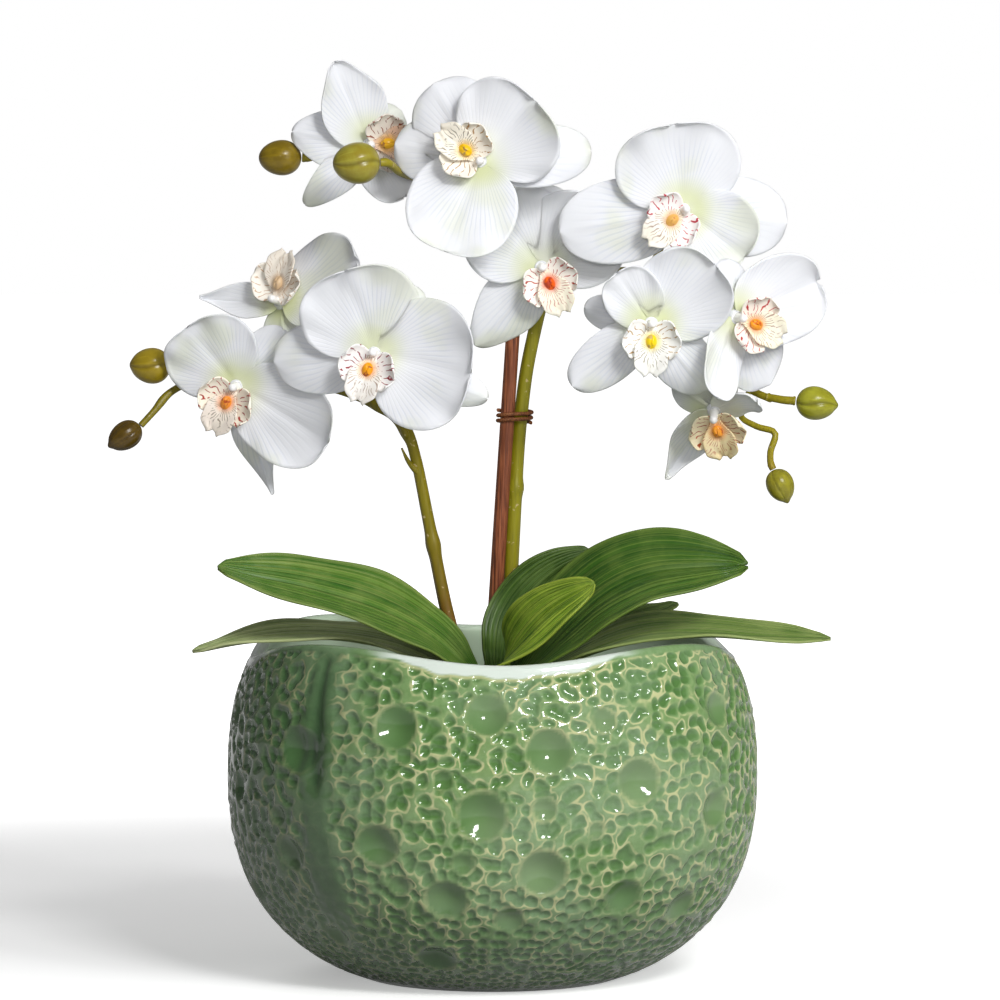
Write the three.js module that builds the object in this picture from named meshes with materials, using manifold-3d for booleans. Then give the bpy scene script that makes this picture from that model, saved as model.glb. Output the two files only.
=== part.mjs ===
// Glazed ceramic bowl planter with a lift-out planting of moth orchids.
// Millimetres, +Z up, front towards -Y. The origin is the centre of the bowl's flat foot.
// The bowl is a rounded square in plan, its rim rises at the four corners, and round
// hollows are pressed into its wall. The planting stands in a plastic liner pot that
// drops into the bowl: foam, moss, a leaf crown, eight leaves, two flower stems with
// a reed stake, ten blooms and six buds.

import * as THREE from 'three';
import { mergeVertices } from 'three/addons/utils/BufferGeometryUtils.js';
import Module from 'manifold-3d';

const wasm = await Module();
wasm.setup();

// Clearance between pieces that seat on or pass through each other
const clearance = 0.3;

// Points closer than this are one point where solids are joined or cut
const meshTolerance = 0.015;

// Bowl
const footRadius = 52;
const bellyRadius = 108.4;
const bellyHeight = 85;
const rimRadius = 99.5;
const rimHeight = 134;
const rimSwing = 4;
const rimSaddle = 1.85;
const bowlWall = 6;
const bowlFloor = 8;
const lobeSwell = 0.03;
const lobeTurn = 48;
const lipRound = 2.6;

// Liner pot, foam and moss
const linerBaseRadius = 55;
const linerTopRadius = 70;
const linerSink = 30.7;
const linerWall = 1.4;
const linerFloor = 2;
const linerRimWidth = 3;
const linerRimHeight = 6;
const drainRadius = 4;
const drainCircle = 34;
const drainCount = 6;
const foamHeadroom = 10;
const mossDepth = 4;
const mossRise = 8.4;

// Leaf crown
const crownRadius = 11;
const crownTopRadius = 8.5;
const crownRoot = 6;
const crownTop = 16;
const crownX = 2;
const crownY = -9;

// Leaves
const leafThickness = 1.7;
const leafBase = 0.13;
const leafFullness = 0.62;

// Stems, stake and tie
const stemRoot = -32;
const reedRadius = 2.75;
const reedRoot = -44;
const tieRadius = 0.75;
const tiePitch = 2.1;
const tieTurns = 2.5;
const tieHeight = 113.5;
const stemTaper = 0.82;
const centreStemRadius = 3.2;
const leftStemRadius = 3.9;
const pedicelRadius = 1.25;

// Blooms
const petalThickness = 0.8;
const sepalThickness = 0.8;
const petalCup = 6;
const sepalSweep = 4;
const bladeStart = 0.7;
const bladeStep = 0.13;
const hubRadius = 3.2;
const hubDepth = 1.5;
const hubTurn = 13;
const columnLength = 7;
const columnRadius = 2.05;
const lipLength = 21.5;
const lipWidth = 15;
const lipThickness = 1.1;
const lipTrough = 1.4;
const lipWing = 8.2;
const wingRoot = 0.4;
const wingLean = 4;

const glaze = new THREE.MeshStandardMaterial({ color: 0x8ea57c, roughness: 0.15 });
const linerPlastic = new THREE.MeshStandardMaterial({ color: 0x2c2f2a, roughness: 0.6 });
const foam = new THREE.MeshStandardMaterial({ color: 0x4c5a3a, roughness: 0.95 });
const moss = new THREE.MeshStandardMaterial({ color: 0x56632a, roughness: 1 });
const crownGreen = new THREE.MeshStandardMaterial({ color: 0x5c6a2c, roughness: 0.6 });
const leafGreen = new THREE.MeshStandardMaterial({ color: 0x5f7d39, roughness: 0.45 });
const stemGreen = new THREE.MeshStandardMaterial({ color: 0x8a7c22, roughness: 0.5 });
const reed = new THREE.MeshStandardMaterial({ color: 0x79442c, roughness: 0.6 });
const raffia = new THREE.MeshStandardMaterial({ color: 0x7a3b22, roughness: 0.8 });
const petalWhite = new THREE.MeshStandardMaterial({ color: 0xeef0f2, roughness: 0.6 });
const lipCream = new THREE.MeshStandardMaterial({ color: 0xefd9b4, roughness: 0.6 });
const budGreen = new THREE.MeshStandardMaterial({ color: 0x8f8a22, roughness: 0.4 });

// Solids from closed meshes

function signedVolume(positions, triangles) {
  let sum = 0;
  const a = new THREE.Vector3();
  const b = new THREE.Vector3();
  const c = new THREE.Vector3();
  for (let i = 0; i < triangles.length; i += 3) {
    a.fromArray(positions, 3 * triangles[i]);
    b.fromArray(positions, 3 * triangles[i + 1]);
    c.fromArray(positions, 3 * triangles[i + 2]);
    sum += a.dot(b.cross(c)) / 6;
  }
  return sum;
}

function solidFromMesh(positions, triangles) {
  const kept = [];
  for (let i = 0; i < triangles.length; i += 3) {
    const [a, b, c] = [triangles[i], triangles[i + 1], triangles[i + 2]];
    if (a !== b && b !== c && c !== a) kept.push(a, b, c);
  }
  if (signedVolume(positions, kept) < 0) kept.reverse();
  return new wasm.Manifold(new wasm.Mesh({
    numProp: 3,
    vertProperties: new Float32Array(positions),
    triVerts: new Uint32Array(kept),
    tolerance: meshTolerance,
  }));
}

function solidFromGeometry(geometry) {
  geometry.deleteAttribute('normal');
  geometry.deleteAttribute('uv');
  const merged = mergeVertices(geometry, 1e-3);
  return solidFromMesh(Array.from(merged.attributes.position.array), Array.from(merged.index.array));
}

function geometryFromSolid(solid) {
  const mesh = solid.getMesh();
  const geometry = new THREE.BufferGeometry();
  geometry.setAttribute('position', new THREE.BufferAttribute(new Float32Array(mesh.vertProperties), 3));
  geometry.setIndex(new THREE.BufferAttribute(new Uint32Array(mesh.triVerts), 1));
  geometry.computeVertexNormals();
  return geometry;
}

// Joins equal rings of points into one closed skin with a flat cap at each end
// A blade's two faces are split along the same diagonals, so its thin edges don't cross.
function loftSolid(rings, isBlade = false) {
  const positions = rings.flat().flatMap((point) => point.toArray());
  const count = rings[0].length;
  const triangles = [];
  for (let row = 0; row + 1 < rings.length; row++) {
    for (let i = 0; i < count; i++) {
      const a = row * count + i;
      const b = row * count + (i + 1) % count;
      if (isBlade && i >= count / 2) {
        triangles.push(a, b, a + count, b, b + count, a + count);
      } else {
        triangles.push(a, b, b + count, a, b + count, a + count);
      }
    }
  }
  const last = (rings.length - 1) * count;
  for (let i = 1; i + 1 < count; i++) {
    triangles.push(0, i + 1, i);
    triangles.push(last, last + i, last + i + 1);
  }
  return solidFromMesh(positions, triangles);
}

function points(list) {
  return list.map(([x, y, z]) => new THREE.Vector3(x, y, z));
}

function smoothCurve(list) {
  return new THREE.CatmullRomCurve3(points(list), false, 'centripetal');
}

// A round stem along a curve, its radius given from start to end
function stemSolid(list, startRadius, endRadius, steps, sides, extra = 0) {
  const curve = smoothCurve(list);
  const frames = curve.computeFrenetFrames(steps, false);
  const rings = [];
  for (let i = 0; i <= steps; i++) {
    const centre = curve.getPointAt(i / steps);
    const radius = THREE.MathUtils.lerp(startRadius, endRadius, i / steps) + extra;
    const ring = [];
    for (let k = 0; k < sides; k++) {
      const turn = 2 * Math.PI * k / sides;
      ring.push(centre.clone()
        .addScaledVector(frames.normals[i], radius * Math.cos(turn))
        .addScaledVector(frames.binormals[i], radius * Math.sin(turn)));
    }
    rings.push(ring);
  }
  return loftSolid(rings);
}

function unite(solids) {
  return solids.reduce((sum, solid) => sum.add(solid));
}

const planter = new THREE.Group();

function addMesh(name, solid, material, parent = planter) {
  const mesh = new THREE.Mesh(geometryFromSolid(solid), material);
  mesh.name = name;
  parent.add(mesh);
  return mesh;
}

// Bowl

const bowlSegments = 52;
const wallSteps = 7;
const corners = 4;
const coveRise = 3;
const coveReach = 7;

// Round hollows pressed into the wall: degrees round from the front, height and width
const hollows = [
  [-42, 98, 19], [-20, 109, 17], [-1, 114, 17], [-2, 76, 20], [-24, 63, 17], [-10, 42, 17],
  [-46, 58, 15], [-15, 17, 16], [12, 100, 18], [31, 88, 18], [53, 112, 14], [51, 73, 16],
  [11, 53, 19], [30, 42, 15], [48, 36, 15], [-74, 108, 15], [-84, 62, 17], [-70, 38, 14],
  [82, 100, 16], [92, 58, 18], [112, 82, 18], [126, 46, 16], [136, 104, 18], [148, 66, 14],
  [160, 92, 19], [168, 36, 15], [178, 112, 15], [-172, 72, 18], [-158, 104, 17], [-152, 48, 16],
  [-138, 82, 19], [-122, 40, 15], [-110, 88, 18],
];
const hollowDepth = 0.15;
const hollowHeadroom = 4;
const hollowSides = 11;

// How far a corner of the rounded square has grown at a height, from 0 at the foot to 1
function cornerGrowth(height) {
  return THREE.MathUtils.smoothstep(height, 0, bellyHeight);
}

// Pushes a turned surface out at the four corners and lifts its rim there
function shapeCorners(geometry) {
  const place = geometry.attributes.position;
  for (let i = 0; i < place.count; i++) {
    const [x, y, z] = [place.getX(i), place.getY(i), place.getZ(i)];
    const angle = Math.atan2(x, -y);
    const corner = Math.cos(corners * (angle - THREE.MathUtils.degToRad(lobeTurn)));
    const swell = 1 + lobeSwell * corner * cornerGrowth(z);
    const sway = rimSwing * corner + rimSaddle * Math.cos(2 * angle);
    const lift = sway * Math.pow(Math.max(0, z) / rimHeight, 3);
    place.setXYZ(i, x * swell, y * swell, z + lift);
  }
  return geometry;
}

// The wall's outer profile from the foot to the rim, as two arcs that meet at the belly
function wallProfile(steps) {
  const lower = new THREE.CubicBezierCurve(
    new THREE.Vector2(footRadius, 0),
    new THREE.Vector2(footRadius + 0.58 * (bellyRadius - footRadius), 0.13 * bellyHeight),
    new THREE.Vector2(bellyRadius + 1, 0.45 * bellyHeight),
    new THREE.Vector2(bellyRadius, bellyHeight));
  const upper = new THREE.CubicBezierCurve(
    new THREE.Vector2(bellyRadius, bellyHeight),
    new THREE.Vector2(bellyRadius, bellyHeight + 0.42 * (rimHeight - bellyHeight)),
    new THREE.Vector2(
      rimRadius + 0.6 * (bellyRadius - rimRadius),
      rimHeight - 0.28 * (rimHeight - bellyHeight)),
    new THREE.Vector2(rimRadius, rimHeight - lipRound));
  return [...lower.getPoints(steps).slice(0, -1), ...upper.getPoints(steps - 2)];
}

function turned(profile, segments) {
  return new THREE.LatheGeometry(profile, segments).rotateX(Math.PI / 2);
}

// The place on the smooth outer wall at an angle and a height, and the way it faces
function wallPlace(degrees, height) {
  const angle = THREE.MathUtils.degToRad(degrees);
  const placed = (turn) => {
    const outline = wallProfile(30).map((point) => new THREE.Vector3(
      point.x * Math.sin(turn), -point.x * Math.cos(turn), point.y));
    const geometry = new THREE.BufferGeometry().setFromPoints(outline);
    return pointsOf(shapeCorners(geometry));
  };
  const column = placed(angle);
  const nearest = column.reduce((best, point, i) => (
    Math.abs(point.z - height) < Math.abs(column[best].z - height) ? i : best), 1);
  const upward = column[nearest + 1].clone().sub(column[nearest - 1]);
  const onward = placed(angle + 0.02)[nearest].sub(column[nearest]);
  return { point: column[nearest], facing: onward.cross(upward).normalize() };
}

function pointsOf(geometry) {
  const place = geometry.attributes.position;
  return Array.from({ length: place.count }, (_, i) => new THREE.Vector3().fromBufferAttribute(place, i));
}

// A shallow dome that presses one hollow into the wall
function hollowSolid([degrees, height, width]) {
  const { point, facing } = wallPlace(degrees, height);
  const depth = hollowDepth * width;
  const dome = [0, 0.5, 1].map((share) => new THREE.Vector2(
    share * width / 2, -depth * (1 - share * share)));
  dome.push(new THREE.Vector2(width / 2, hollowHeadroom), new THREE.Vector2(0, hollowHeadroom));
  const turnOut = new THREE.Quaternion().setFromUnitVectors(new THREE.Vector3(0, 0, 1), facing);
  return solidFromGeometry(turned(dome, hollowSides).applyQuaternion(turnOut).translate(...point.toArray()));
}

function bowlSolid() {
  const outer = wallProfile(wallSteps);
  const lip = [];
  for (let i = 1; i <= 3; i++) {
    const turn = Math.PI * i / 4;
    lip.push(new THREE.Vector2(
      rimRadius - bowlWall / 2 + Math.cos(turn) * bowlWall / 2,
      rimHeight - lipRound + Math.sin(turn) * lipRound));
  }
  const inner = wallProfile(wallSteps - 2)
    .map((point) => new THREE.Vector2(point.x - bowlWall, point.y))
    .filter((point) => point.y > bowlFloor + coveRise)
    .reverse();
  const cove = new THREE.Vector2(inner[inner.length - 1].x - coveReach, bowlFloor);
  const centre = new THREE.Vector2(0, bowlFloor);
  const profile = [new THREE.Vector2(0, 0), ...outer, ...lip, ...inner, cove, centre];
  const bowl = solidFromGeometry(shapeCorners(turned(profile, bowlSegments)));
  return hollows.reduce((rest, hollow) => rest.subtract(hollowSolid(hollow)), bowl);
}

addMesh('pot', bowlSolid(), glaze);

// Planting: everything that lifts out of the bowl together
// Heights in it are from the top of the moss.
const planting = new THREE.Group();
planting.position.z = rimHeight - linerSink - foamHeadroom + clearance + mossDepth + mossRise;
planter.add(planting);

const linerBottom = bowlFloor + clearance - planting.position.z;
const linerTop = rimHeight - linerSink - planting.position.z;
const foamBottom = linerBottom + linerFloor + clearance;
const foamTop = linerTop - foamHeadroom;
const mossBottom = foamTop + clearance;
const mossEdgeTop = mossBottom + mossDepth;

function linerRadiusAt(height) {
  return THREE.MathUtils.mapLinear(height, linerBottom, linerTop, linerBaseRadius, linerTopRadius);
}

function linerSolid() {
  const rimBottom = linerTop - linerRimHeight;
  const profile = [
    new THREE.Vector2(0, linerBottom),
    new THREE.Vector2(linerBaseRadius, linerBottom),
    new THREE.Vector2(linerRadiusAt(rimBottom), rimBottom),
    new THREE.Vector2(linerRadiusAt(rimBottom) + linerRimWidth, rimBottom),
    new THREE.Vector2(linerTopRadius + linerRimWidth, linerTop),
    new THREE.Vector2(linerTopRadius - linerWall, linerTop),
    new THREE.Vector2(linerRadiusAt(linerBottom + linerFloor) - linerWall, linerBottom + linerFloor),
    new THREE.Vector2(0, linerBottom + linerFloor),
  ];
  let solid = solidFromGeometry(turned(profile, 28));
  for (let i = 0; i < drainCount; i++) {
    const angle = 2 * Math.PI * i / drainCount;
    const drain = new THREE.CylinderGeometry(drainRadius, drainRadius, 3 * linerFloor, 6)
      .rotateX(Math.PI / 2)
      .translate(drainCircle * Math.cos(angle), drainCircle * Math.sin(angle), linerBottom);
    solid = solid.subtract(solidFromGeometry(drain));
  }
  return solid;
}

// Routes of what stands in the foam
const leftStemRoute = [
  [-11, 6, stemRoot], [-12.5, 6, 10], [-15.5, 5, 28], [-19, 5, 43], [-25.4, 5, 75], [-30.5, 5, 100],
  [-33, 5, 108], [-39, 5, 116.5], [-50, 6, 123], [-64, 8, 128], [-80, 9, 132], [-98, 6, 134],
  [-115, 2, 132], [-127.5, -3, 126.5], [-134, -7, 119], [-139, -9, 113.5],
];
const centreStemRoute = [
  [5, 14, stemRoot], [6, 14, 6], [7.2, 14, 44], [8.6, 14.2, 74], [10.4, 14.5, 104], [12, 14.5, 120],
  [14, 14.5, 135], [17.2, 14.5, 150.7], [19.4, 14.5, 160],
];
const stakeRoute = [[-4, 11, reedRoot], [-0.6, 11, 12], [8.3, 11, 149]];

// Leaf crown, moss and foam, bored for what passes through them

function crownSolid(extra) {
  const root = -crownRoot - mossDepth;
  const profile = [
    new THREE.Vector2(0, root - extra),
    new THREE.Vector2(crownRadius * 0.7 + extra, root - extra),
    new THREE.Vector2(crownRadius + extra, -1),
    new THREE.Vector2(crownRadius + extra, crownTop - 8),
    new THREE.Vector2(crownTopRadius + extra, crownTop - 1),
    new THREE.Vector2(crownTopRadius * 0.5 + extra, crownTop + extra),
    new THREE.Vector2(0, crownTop + extra),
  ];
  return solidFromGeometry(turned(profile, 16).translate(crownX, crownY, 0));
}

function leftStemSolid(extra) {
  return stemSolid(leftStemRoute, leftStemRadius, leftStemRadius * 0.4, 22, 7, extra);
}

function centreStemSolid(extra) {
  return stemSolid(centreStemRoute, centreStemRadius, centreStemRadius * stemTaper, 8, 7, extra);
}

function stakeSolid(extra) {
  return stemSolid(stakeRoute, reedRadius, reedRadius, 4, 8, extra);
}

const bored = [leftStemSolid(clearance), centreStemSolid(clearance), stakeSolid(clearance)];

function foamSolid() {
  const profile = [
    new THREE.Vector2(0, foamBottom),
    new THREE.Vector2(linerRadiusAt(foamBottom) - linerWall - clearance, foamBottom),
    new THREE.Vector2(linerRadiusAt(foamTop) - linerWall - clearance, foamTop),
    new THREE.Vector2(0, foamTop),
  ];
  const block = solidFromGeometry(turned(profile, 28));
  return bored.reduce((rest, hole) => rest.subtract(hole), block);
}

function mossSolid() {
  const edge = linerRadiusAt(mossBottom) - linerWall - clearance;
  const profile = [new THREE.Vector2(0, mossBottom), new THREE.Vector2(edge, mossBottom)];
  const steps = 4;
  for (let i = 0; i <= steps; i++) {
    const reach = Math.cos(Math.PI / 2 * i / steps);
    const rise = Math.sin(Math.PI / 2 * i / steps);
    profile.push(new THREE.Vector2(edge * reach, mossEdgeTop + mossRise * rise));
  }
  const mound = solidFromGeometry(turned(profile, 28));
  return [...bored, crownSolid(clearance)].reduce((rest, hole) => rest.subtract(hole), mound);
}

addMesh('liner_pot', linerSolid(), linerPlastic, planting);
addMesh('potting_foam', foamSolid(), foam, planting);
addMesh('moss_top', mossSolid(), moss, planting);
addMesh('leaf_crown', crownSolid(0), crownGreen, planting);

// Leaves: a spine, a width, a tilt of the blade about its spine and a fold along it.
// The blade rolls into its tilt between the two shares of its length given as roll.

const leaves = {
  leaf_left_upper: {
    spine: [[-2, -12, 8], [-11, -15, 19], [-24.5, -18, 31], [-44, -25, 42], [-71, -33, 51], [-95, -39, 56.5],
      [-107, -42, 59.5]],
    width: 40, tilt: -34, fold: 10,
  },
  leaf_left_lower: {
    spine: [[-3, -10, 3], [-16, -11, 15], [-36, -12, 25], [-56, -14, 29.5], [-76, -18, 31], [-96, -22, 29.5],
      [-118, -25, 25]],
    width: 32, tilt: -10, fold: 10,
  },
  leaf_right_upper: {
    spine: [[6, -12, 7], [18, -18, 21], [32, -23, 37], [46.5, -27, 49.5], [62, -29, 56.5], [82, -30.5, 59],
      [100.5, -31, 59.5]],
    width: 48, tilt: 40, fold: 12,
  },
  leaf_right_back: {
    spine: [[4, -3, 8], [6.5, -1, 22], [10, 0, 35], [17, 0, 46], [27, 0, 55.3], [40, 1, 62.5]],
    width: 26, tilt: 80, fold: 10,
  },
  leaf_front: {
    spine: [[-2.5, -18, 4], [-0.8, -30, 10.5], [4.5, -38, 21], [12, -43, 32.5], [22.5, -47, 43.8],
      [40, -50, 54.2]],
    width: 25, tilt: 75, roll: [0, 0.8], fold: 14,
  },
  leaf_right_lower: {
    spine: [[7, -9, 1.8], [22, -12, 15], [42, -16, 25.5], [62, -18, 31.5], [84, -21, 32.5], [108, -24, 31],
      [133.5, -25, 30]],
    width: 35, tilt: 12, fold: 10,
  },
  leaf_back_right: {
    spine: [[5.4, -1.2, 7.4], [17.5, 8.6, 18.6], [38, 14, 27.5], [57, 20, 33.5], [75, 26, 40]],
    width: 22, tilt: 22, fold: 12,
  },
  leaf_back_left: {
    spine: [[-5, -7, 9.5], [-16, -5, 22], [-26, 0, 31], [-31.5, 7, 38], [-34.5, 13, 43]],
    width: 14, tilt: -25, fold: 12,
  },
};

// A pinched ring across a blade: over the top from edge to edge, and back underneath
function bladeRing(centre, side, normal, halfWidth, thickness, bend, cells) {
  const over = [];
  const under = [];
  for (let j = 0; j <= cells; j++) {
    const s = 2 * j / cells - 1;
    const middle = centre.clone().addScaledVector(side, s * halfWidth).addScaledVector(normal, bend(s));
    const half = thickness / 2 * (1 - s * s);
    if (j === 0 || j === cells) {
      over.push(middle);
    } else {
      over.push(middle.clone().addScaledVector(normal, half));
      under.unshift(middle.clone().addScaledVector(normal, -half));
    }
  }
  return [...over, ...under];
}

function leafSolid({ spine, width, tilt, fold, roll = [-0.4, 0.4] }) {
  const curve = smoothCurve(spine);
  const steps = 8;
  const up = new THREE.Vector3(0, 0, 1);
  const rings = [];
  for (let i = 0; i <= steps; i++) {
    const t = i / steps;
    const tangent = curve.getTangentAt(t);
    const side = tangent.clone().cross(up).normalize()
      .applyAxisAngle(tangent, THREE.MathUtils.degToRad(tilt) * THREE.MathUtils.smoothstep(t, ...roll));
    const normal = side.clone().cross(tangent).normalize();
    const fullness = Math.pow(Math.sin(Math.PI * THREE.MathUtils.lerp(leafBase, 0.985, t)), leafFullness);
    const halfWidth = width / 2 * fullness * THREE.MathUtils.smoothstep(t, -0.5, 0.35);
    const rise = halfWidth * Math.tan(THREE.MathUtils.degToRad(fold));
    const bend = (s) => rise * s * s;
    rings.push(bladeRing(curve.getPointAt(t), side, normal, halfWidth, leafThickness, bend, 4));
  }
  return loftSolid(rings, true).subtract(crownSolid(clearance));
}

for (const [name, shape] of Object.entries(leaves)) {
  addMesh(name, leafSolid(shape), leafGreen, planting);
}

// Blooms. Directions are clock angles in degrees, from the top, as the bloom is seen from its front.
// A blade is [clock angle, length, width]. yaw turns a bloom to its right, nod turns it down.

const blooms = {
  bloom_left_front: {
    hub: [-45.8, -35, 143], yaw: -8, nod: 0, lip: 197,
    petals: [[-18, 34, 48], [101, 40, 52]], sepals: [[-95, 41, 29], [112, 47, 22], [30, 30, 22]],
  },
  bloom_left_outer: {
    hub: [-100.8, -12, 129.4], yaw: -14, nod: 8, lip: 207,
    petals: [[-35, 30, 39], [119, 44, 38]], sepals: [[166, 46, 16], [40, 28, 18], [-105, 18, 14]],
  },
  bloom_left_back: {
    hub: [-84.6, 22, 161.5], yaw: -30, nod: -18, lip: 10,
    petals: [[68, 41, 36], [-92, 31, 14]], sepals: [[169, 28, 20], [100, 30, 22], [-75, 14, 12]],
  },
  bloom_top_left: {
    hub: [-49, 6, 224.5], yaw: 14, nod: 0, lip: 85,
    petals: [[-23, 35, 27], [150, 24, 22]], sepals: [[-80, 30, 24], [230, 34, 15], [48, 20, 18]],
  },
  bloom_top_centre: {
    hub: [-4.6, -28, 218.1], yaw: -6, nod: -4, lip: -53,
    petals: [[44, 32, 46], [200, 38, 44]], sepals: [[-32, 36, 35], [-78, 35, 27], [84, 43, 25]],
  },
  bloom_centre: {
    hub: [19.5, 1.2, 176.1], yaw: 6, nod: 6, lip: 154,
    petals: [[-38, 34, 44], [48, 34, 42]], sepals: [[6, 32, 26], [218, 41, 25], [84, 30, 18]],
  },
  bloom_right_top: {
    hub: [75.4, -15, 198.8], yaw: 4, nod: 0, lip: 232,
    petals: [[-8, 34, 50], [128, 30, 36]], sepals: [[260, 49, 33.5], [97, 42, 32], [40, 26, 22]],
  },
  bloom_centre_right: {
    hub: [62, -44, 155.1], yaw: 2, nod: 6, lip: 182,
    petals: [[-34, 25, 23], [46, 34, 38]], sepals: [[230, 39.5, 21], [140, 35, 23], [-78, 26, 15]],
  },
  bloom_right: {
    hub: [94.9, -40, 157.3], yaw: 30, nod: 4, lip: 112,
    petals: [[68, 37, 36], [204, 33, 20]], sepals: [[143, 34, 28], [0, 22, 16], [-62, 19, 18]],
  },
  bloom_right_lower: {
    hub: [88, -10, 120], yaw: -4, nod: 38, lip: 168,
    petals: [[216, 33, 17], [52, 22, 16]], sepals: [[-60, 18, 16], [16, 16, 14], [150, 12, 12]],
  },
};

// Turns a bloom modelled in the XY plane, face up, to stand upright and look to the front
function bloomTurn({ yaw, nod }) {
  return new THREE.Quaternion()
    .setFromAxisAngle(new THREE.Vector3(0, 0, 1), THREE.MathUtils.degToRad(yaw))
    .multiply(new THREE.Quaternion().setFromAxisAngle(
      new THREE.Vector3(1, 0, 0), Math.PI / 2 + THREE.MathUtils.degToRad(nod)));
}

function bloomPoint(bloom, x, y, z) {
  return new THREE.Vector3(x, y, z).applyQuaternion(bloomTurn(bloom)).add(new THREE.Vector3(...bloom.hub));
}

// One petal or sepal: a thin blade from the hub, widest past its middle
// Each blade of a layer lies a step above the last one.
function bladeSolid([clock, length, width], rank, form) {
  const { thickness, roundness, claw, steps, cells } = form;
  const base = form.base + rank * bladeStep;
  const dish = form.dish * (1 + rank * bladeStep);
  const angle = THREE.MathUtils.degToRad(clock);
  const along = new THREE.Vector3(Math.sin(angle), Math.cos(angle), 0);
  const side = new THREE.Vector3(Math.cos(angle), -Math.sin(angle), 0);
  const normal = new THREE.Vector3(0, 0, 1);
  const rings = [];
  for (let i = 0; i <= steps; i++) {
    const t = i / steps;
    const reach = THREE.MathUtils.lerp(bladeStart, length, (1 - Math.cos(Math.PI * t)) / 2);
    const fullness = Math.pow(Math.sin(Math.PI * Math.min(t, 0.97)), roundness);
    const halfWidth = Math.max(claw * (1 - t), width / 2 * fullness);
    const share = reach / length;
    const centre = along.clone().multiplyScalar(reach).addScaledVector(normal, base + dish * share * share);
    const curl = dish * 0.5 * share;
    rings.push(bladeRing(centre, side, normal, halfWidth, thickness, (s) => curl * s * s, cells));
  }
  return loftSolid(rings, true);
}

function hubSolid(low, high) {
  const disc = new THREE.CylinderGeometry(hubRadius * 0.8, hubRadius, high - low, 6)
    .rotateX(Math.PI / 2)
    .rotateZ(THREE.MathUtils.degToRad(hubTurn))
    .translate(0, 0, (low + high) / 2);
  return solidFromGeometry(disc);
}

function petalsSolid(bloom) {
  const form = {
    base: clearance / 2 + hubDepth / 2, thickness: petalThickness, dish: petalCup,
    roundness: 0.8, claw: 2.6, steps: 5, cells: 3,
  };
  const blades = bloom.petals.map((blade, rank) => bladeSolid(blade, rank, form));
  return unite([hubSolid(clearance / 2, clearance / 2 + hubDepth), ...blades]);
}

function sepalsSolid(bloom) {
  const form = {
    base: -clearance / 2 - hubDepth / 2, thickness: sepalThickness, dish: -sepalSweep,
    roundness: 1, claw: 2, steps: 4, cells: 2,
  };
  const blades = bloom.sepals.map((blade, rank) => bladeSolid(blade, rank, form));
  return unite([hubSolid(-clearance / 2 - hubDepth, -clearance / 2), ...blades]);
}

// Tongue: share of the lip's length, rise over its floor and share of its width
const tongueForm = [[0, 1, 0.3], [0.3, 3.8, 0.6], [0.65, 5.6, 1], [1, 5, 0.12]];

// Wing: share of its reach, rise over the lip's floor and half its breadth
const wingForm = [[0.1, 1, 1.6], [0.6, 5.5, 3.4], [1, 9, 1.4]];

// The lip: a blunt column, a tongue that runs out and curls down, and a wing on each side
function lipSolid(bloom) {
  const floor = 1.5 * clearance + hubDepth;
  const angle = THREE.MathUtils.degToRad(bloom.lip);
  const toWorld = new THREE.Matrix4().makeRotationZ(-angle);
  const place = (list) => points(list).map((point) => point.applyMatrix4(toWorld).toArray());
  const columnRoute = [
    [0, 0, floor], [0, 0, floor + 1], [0, 1, floor + columnLength * 0.5], [0, 3, floor + columnLength],
  ];
  const column = stemSolid(place(columnRoute), columnRadius, columnRadius * 0.75, 3, 5);
  const rings = [];
  const turnRing = (ring) => ring.map((point) => point.applyMatrix4(toWorld));
  for (const [share, rise, spread] of tongueForm) {
    rings.push(turnRing(bladeRing(
      new THREE.Vector3(0, share * lipLength, floor + rise),
      new THREE.Vector3(1, 0, 0), new THREE.Vector3(0, 0, 1),
      spread * lipWidth / 2, lipThickness, (s) => lipTrough * spread * s * s, 2)));
  }
  const wings = [-1, 1].map((hand) => loftSolid(wingForm.map(([share, rise, reach]) => turnRing(bladeRing(
    new THREE.Vector3(hand * (wingRoot + share * lipWing), wingRoot + share * wingLean, floor + rise),
    new THREE.Vector3(0, 1, 0), new THREE.Vector3(hand, 0, 0.4).normalize(),
    reach, lipThickness, () => 0, 2))), true));
  return unite([column, loftSolid(rings, true), ...wings]);
}

for (const [name, bloom] of Object.entries(blooms)) {
  const group = new THREE.Group();
  group.position.set(...bloom.hub);
  group.quaternion.copy(bloomTurn(bloom));
  planting.add(group);
  addMesh(`${name}_sepals`, sepalsSolid(bloom), petalWhite, group);
  addMesh(`${name}_petals`, petalsSolid(bloom), petalWhite, group);
  addMesh(`${name}_lip`, lipSolid(bloom), lipCream, group);
}

// Buds: centre, length, width and the point of the stalk that each one sits on

const buds = {
  bud_top_outer: { centre: [-84.4, 10, 219.4], stalk: [-74.5, 11, 219.4], length: 17, width: 14 },
  bud_top_inner: { centre: [-53, -30, 217.3], stalk: [-42, -28, 217.5], length: 18.5, width: 16 },
  bud_left_upper: { centre: [-135.5, -3, 137], stalk: [-126, -2, 136.5], length: 16, width: 14 },
  bud_left_lower: { centre: [-145.2, -11, 109.5], stalk: [-139, -9, 113.5], length: 14.5, width: 11 },
  bud_right_upper: { centre: [128.6, -6, 122.2], stalk: [120.5, -5, 123], length: 16, width: 13 },
  bud_right_lower: { centre: [114.4, -7, 89.6], stalk: [111.2, -6, 97], length: 13.5, width: 11 },
};

function budAxis({ centre, stalk }) {
  return new THREE.Vector3(...centre).sub(new THREE.Vector3(...stalk)).normalize();
}

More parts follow.
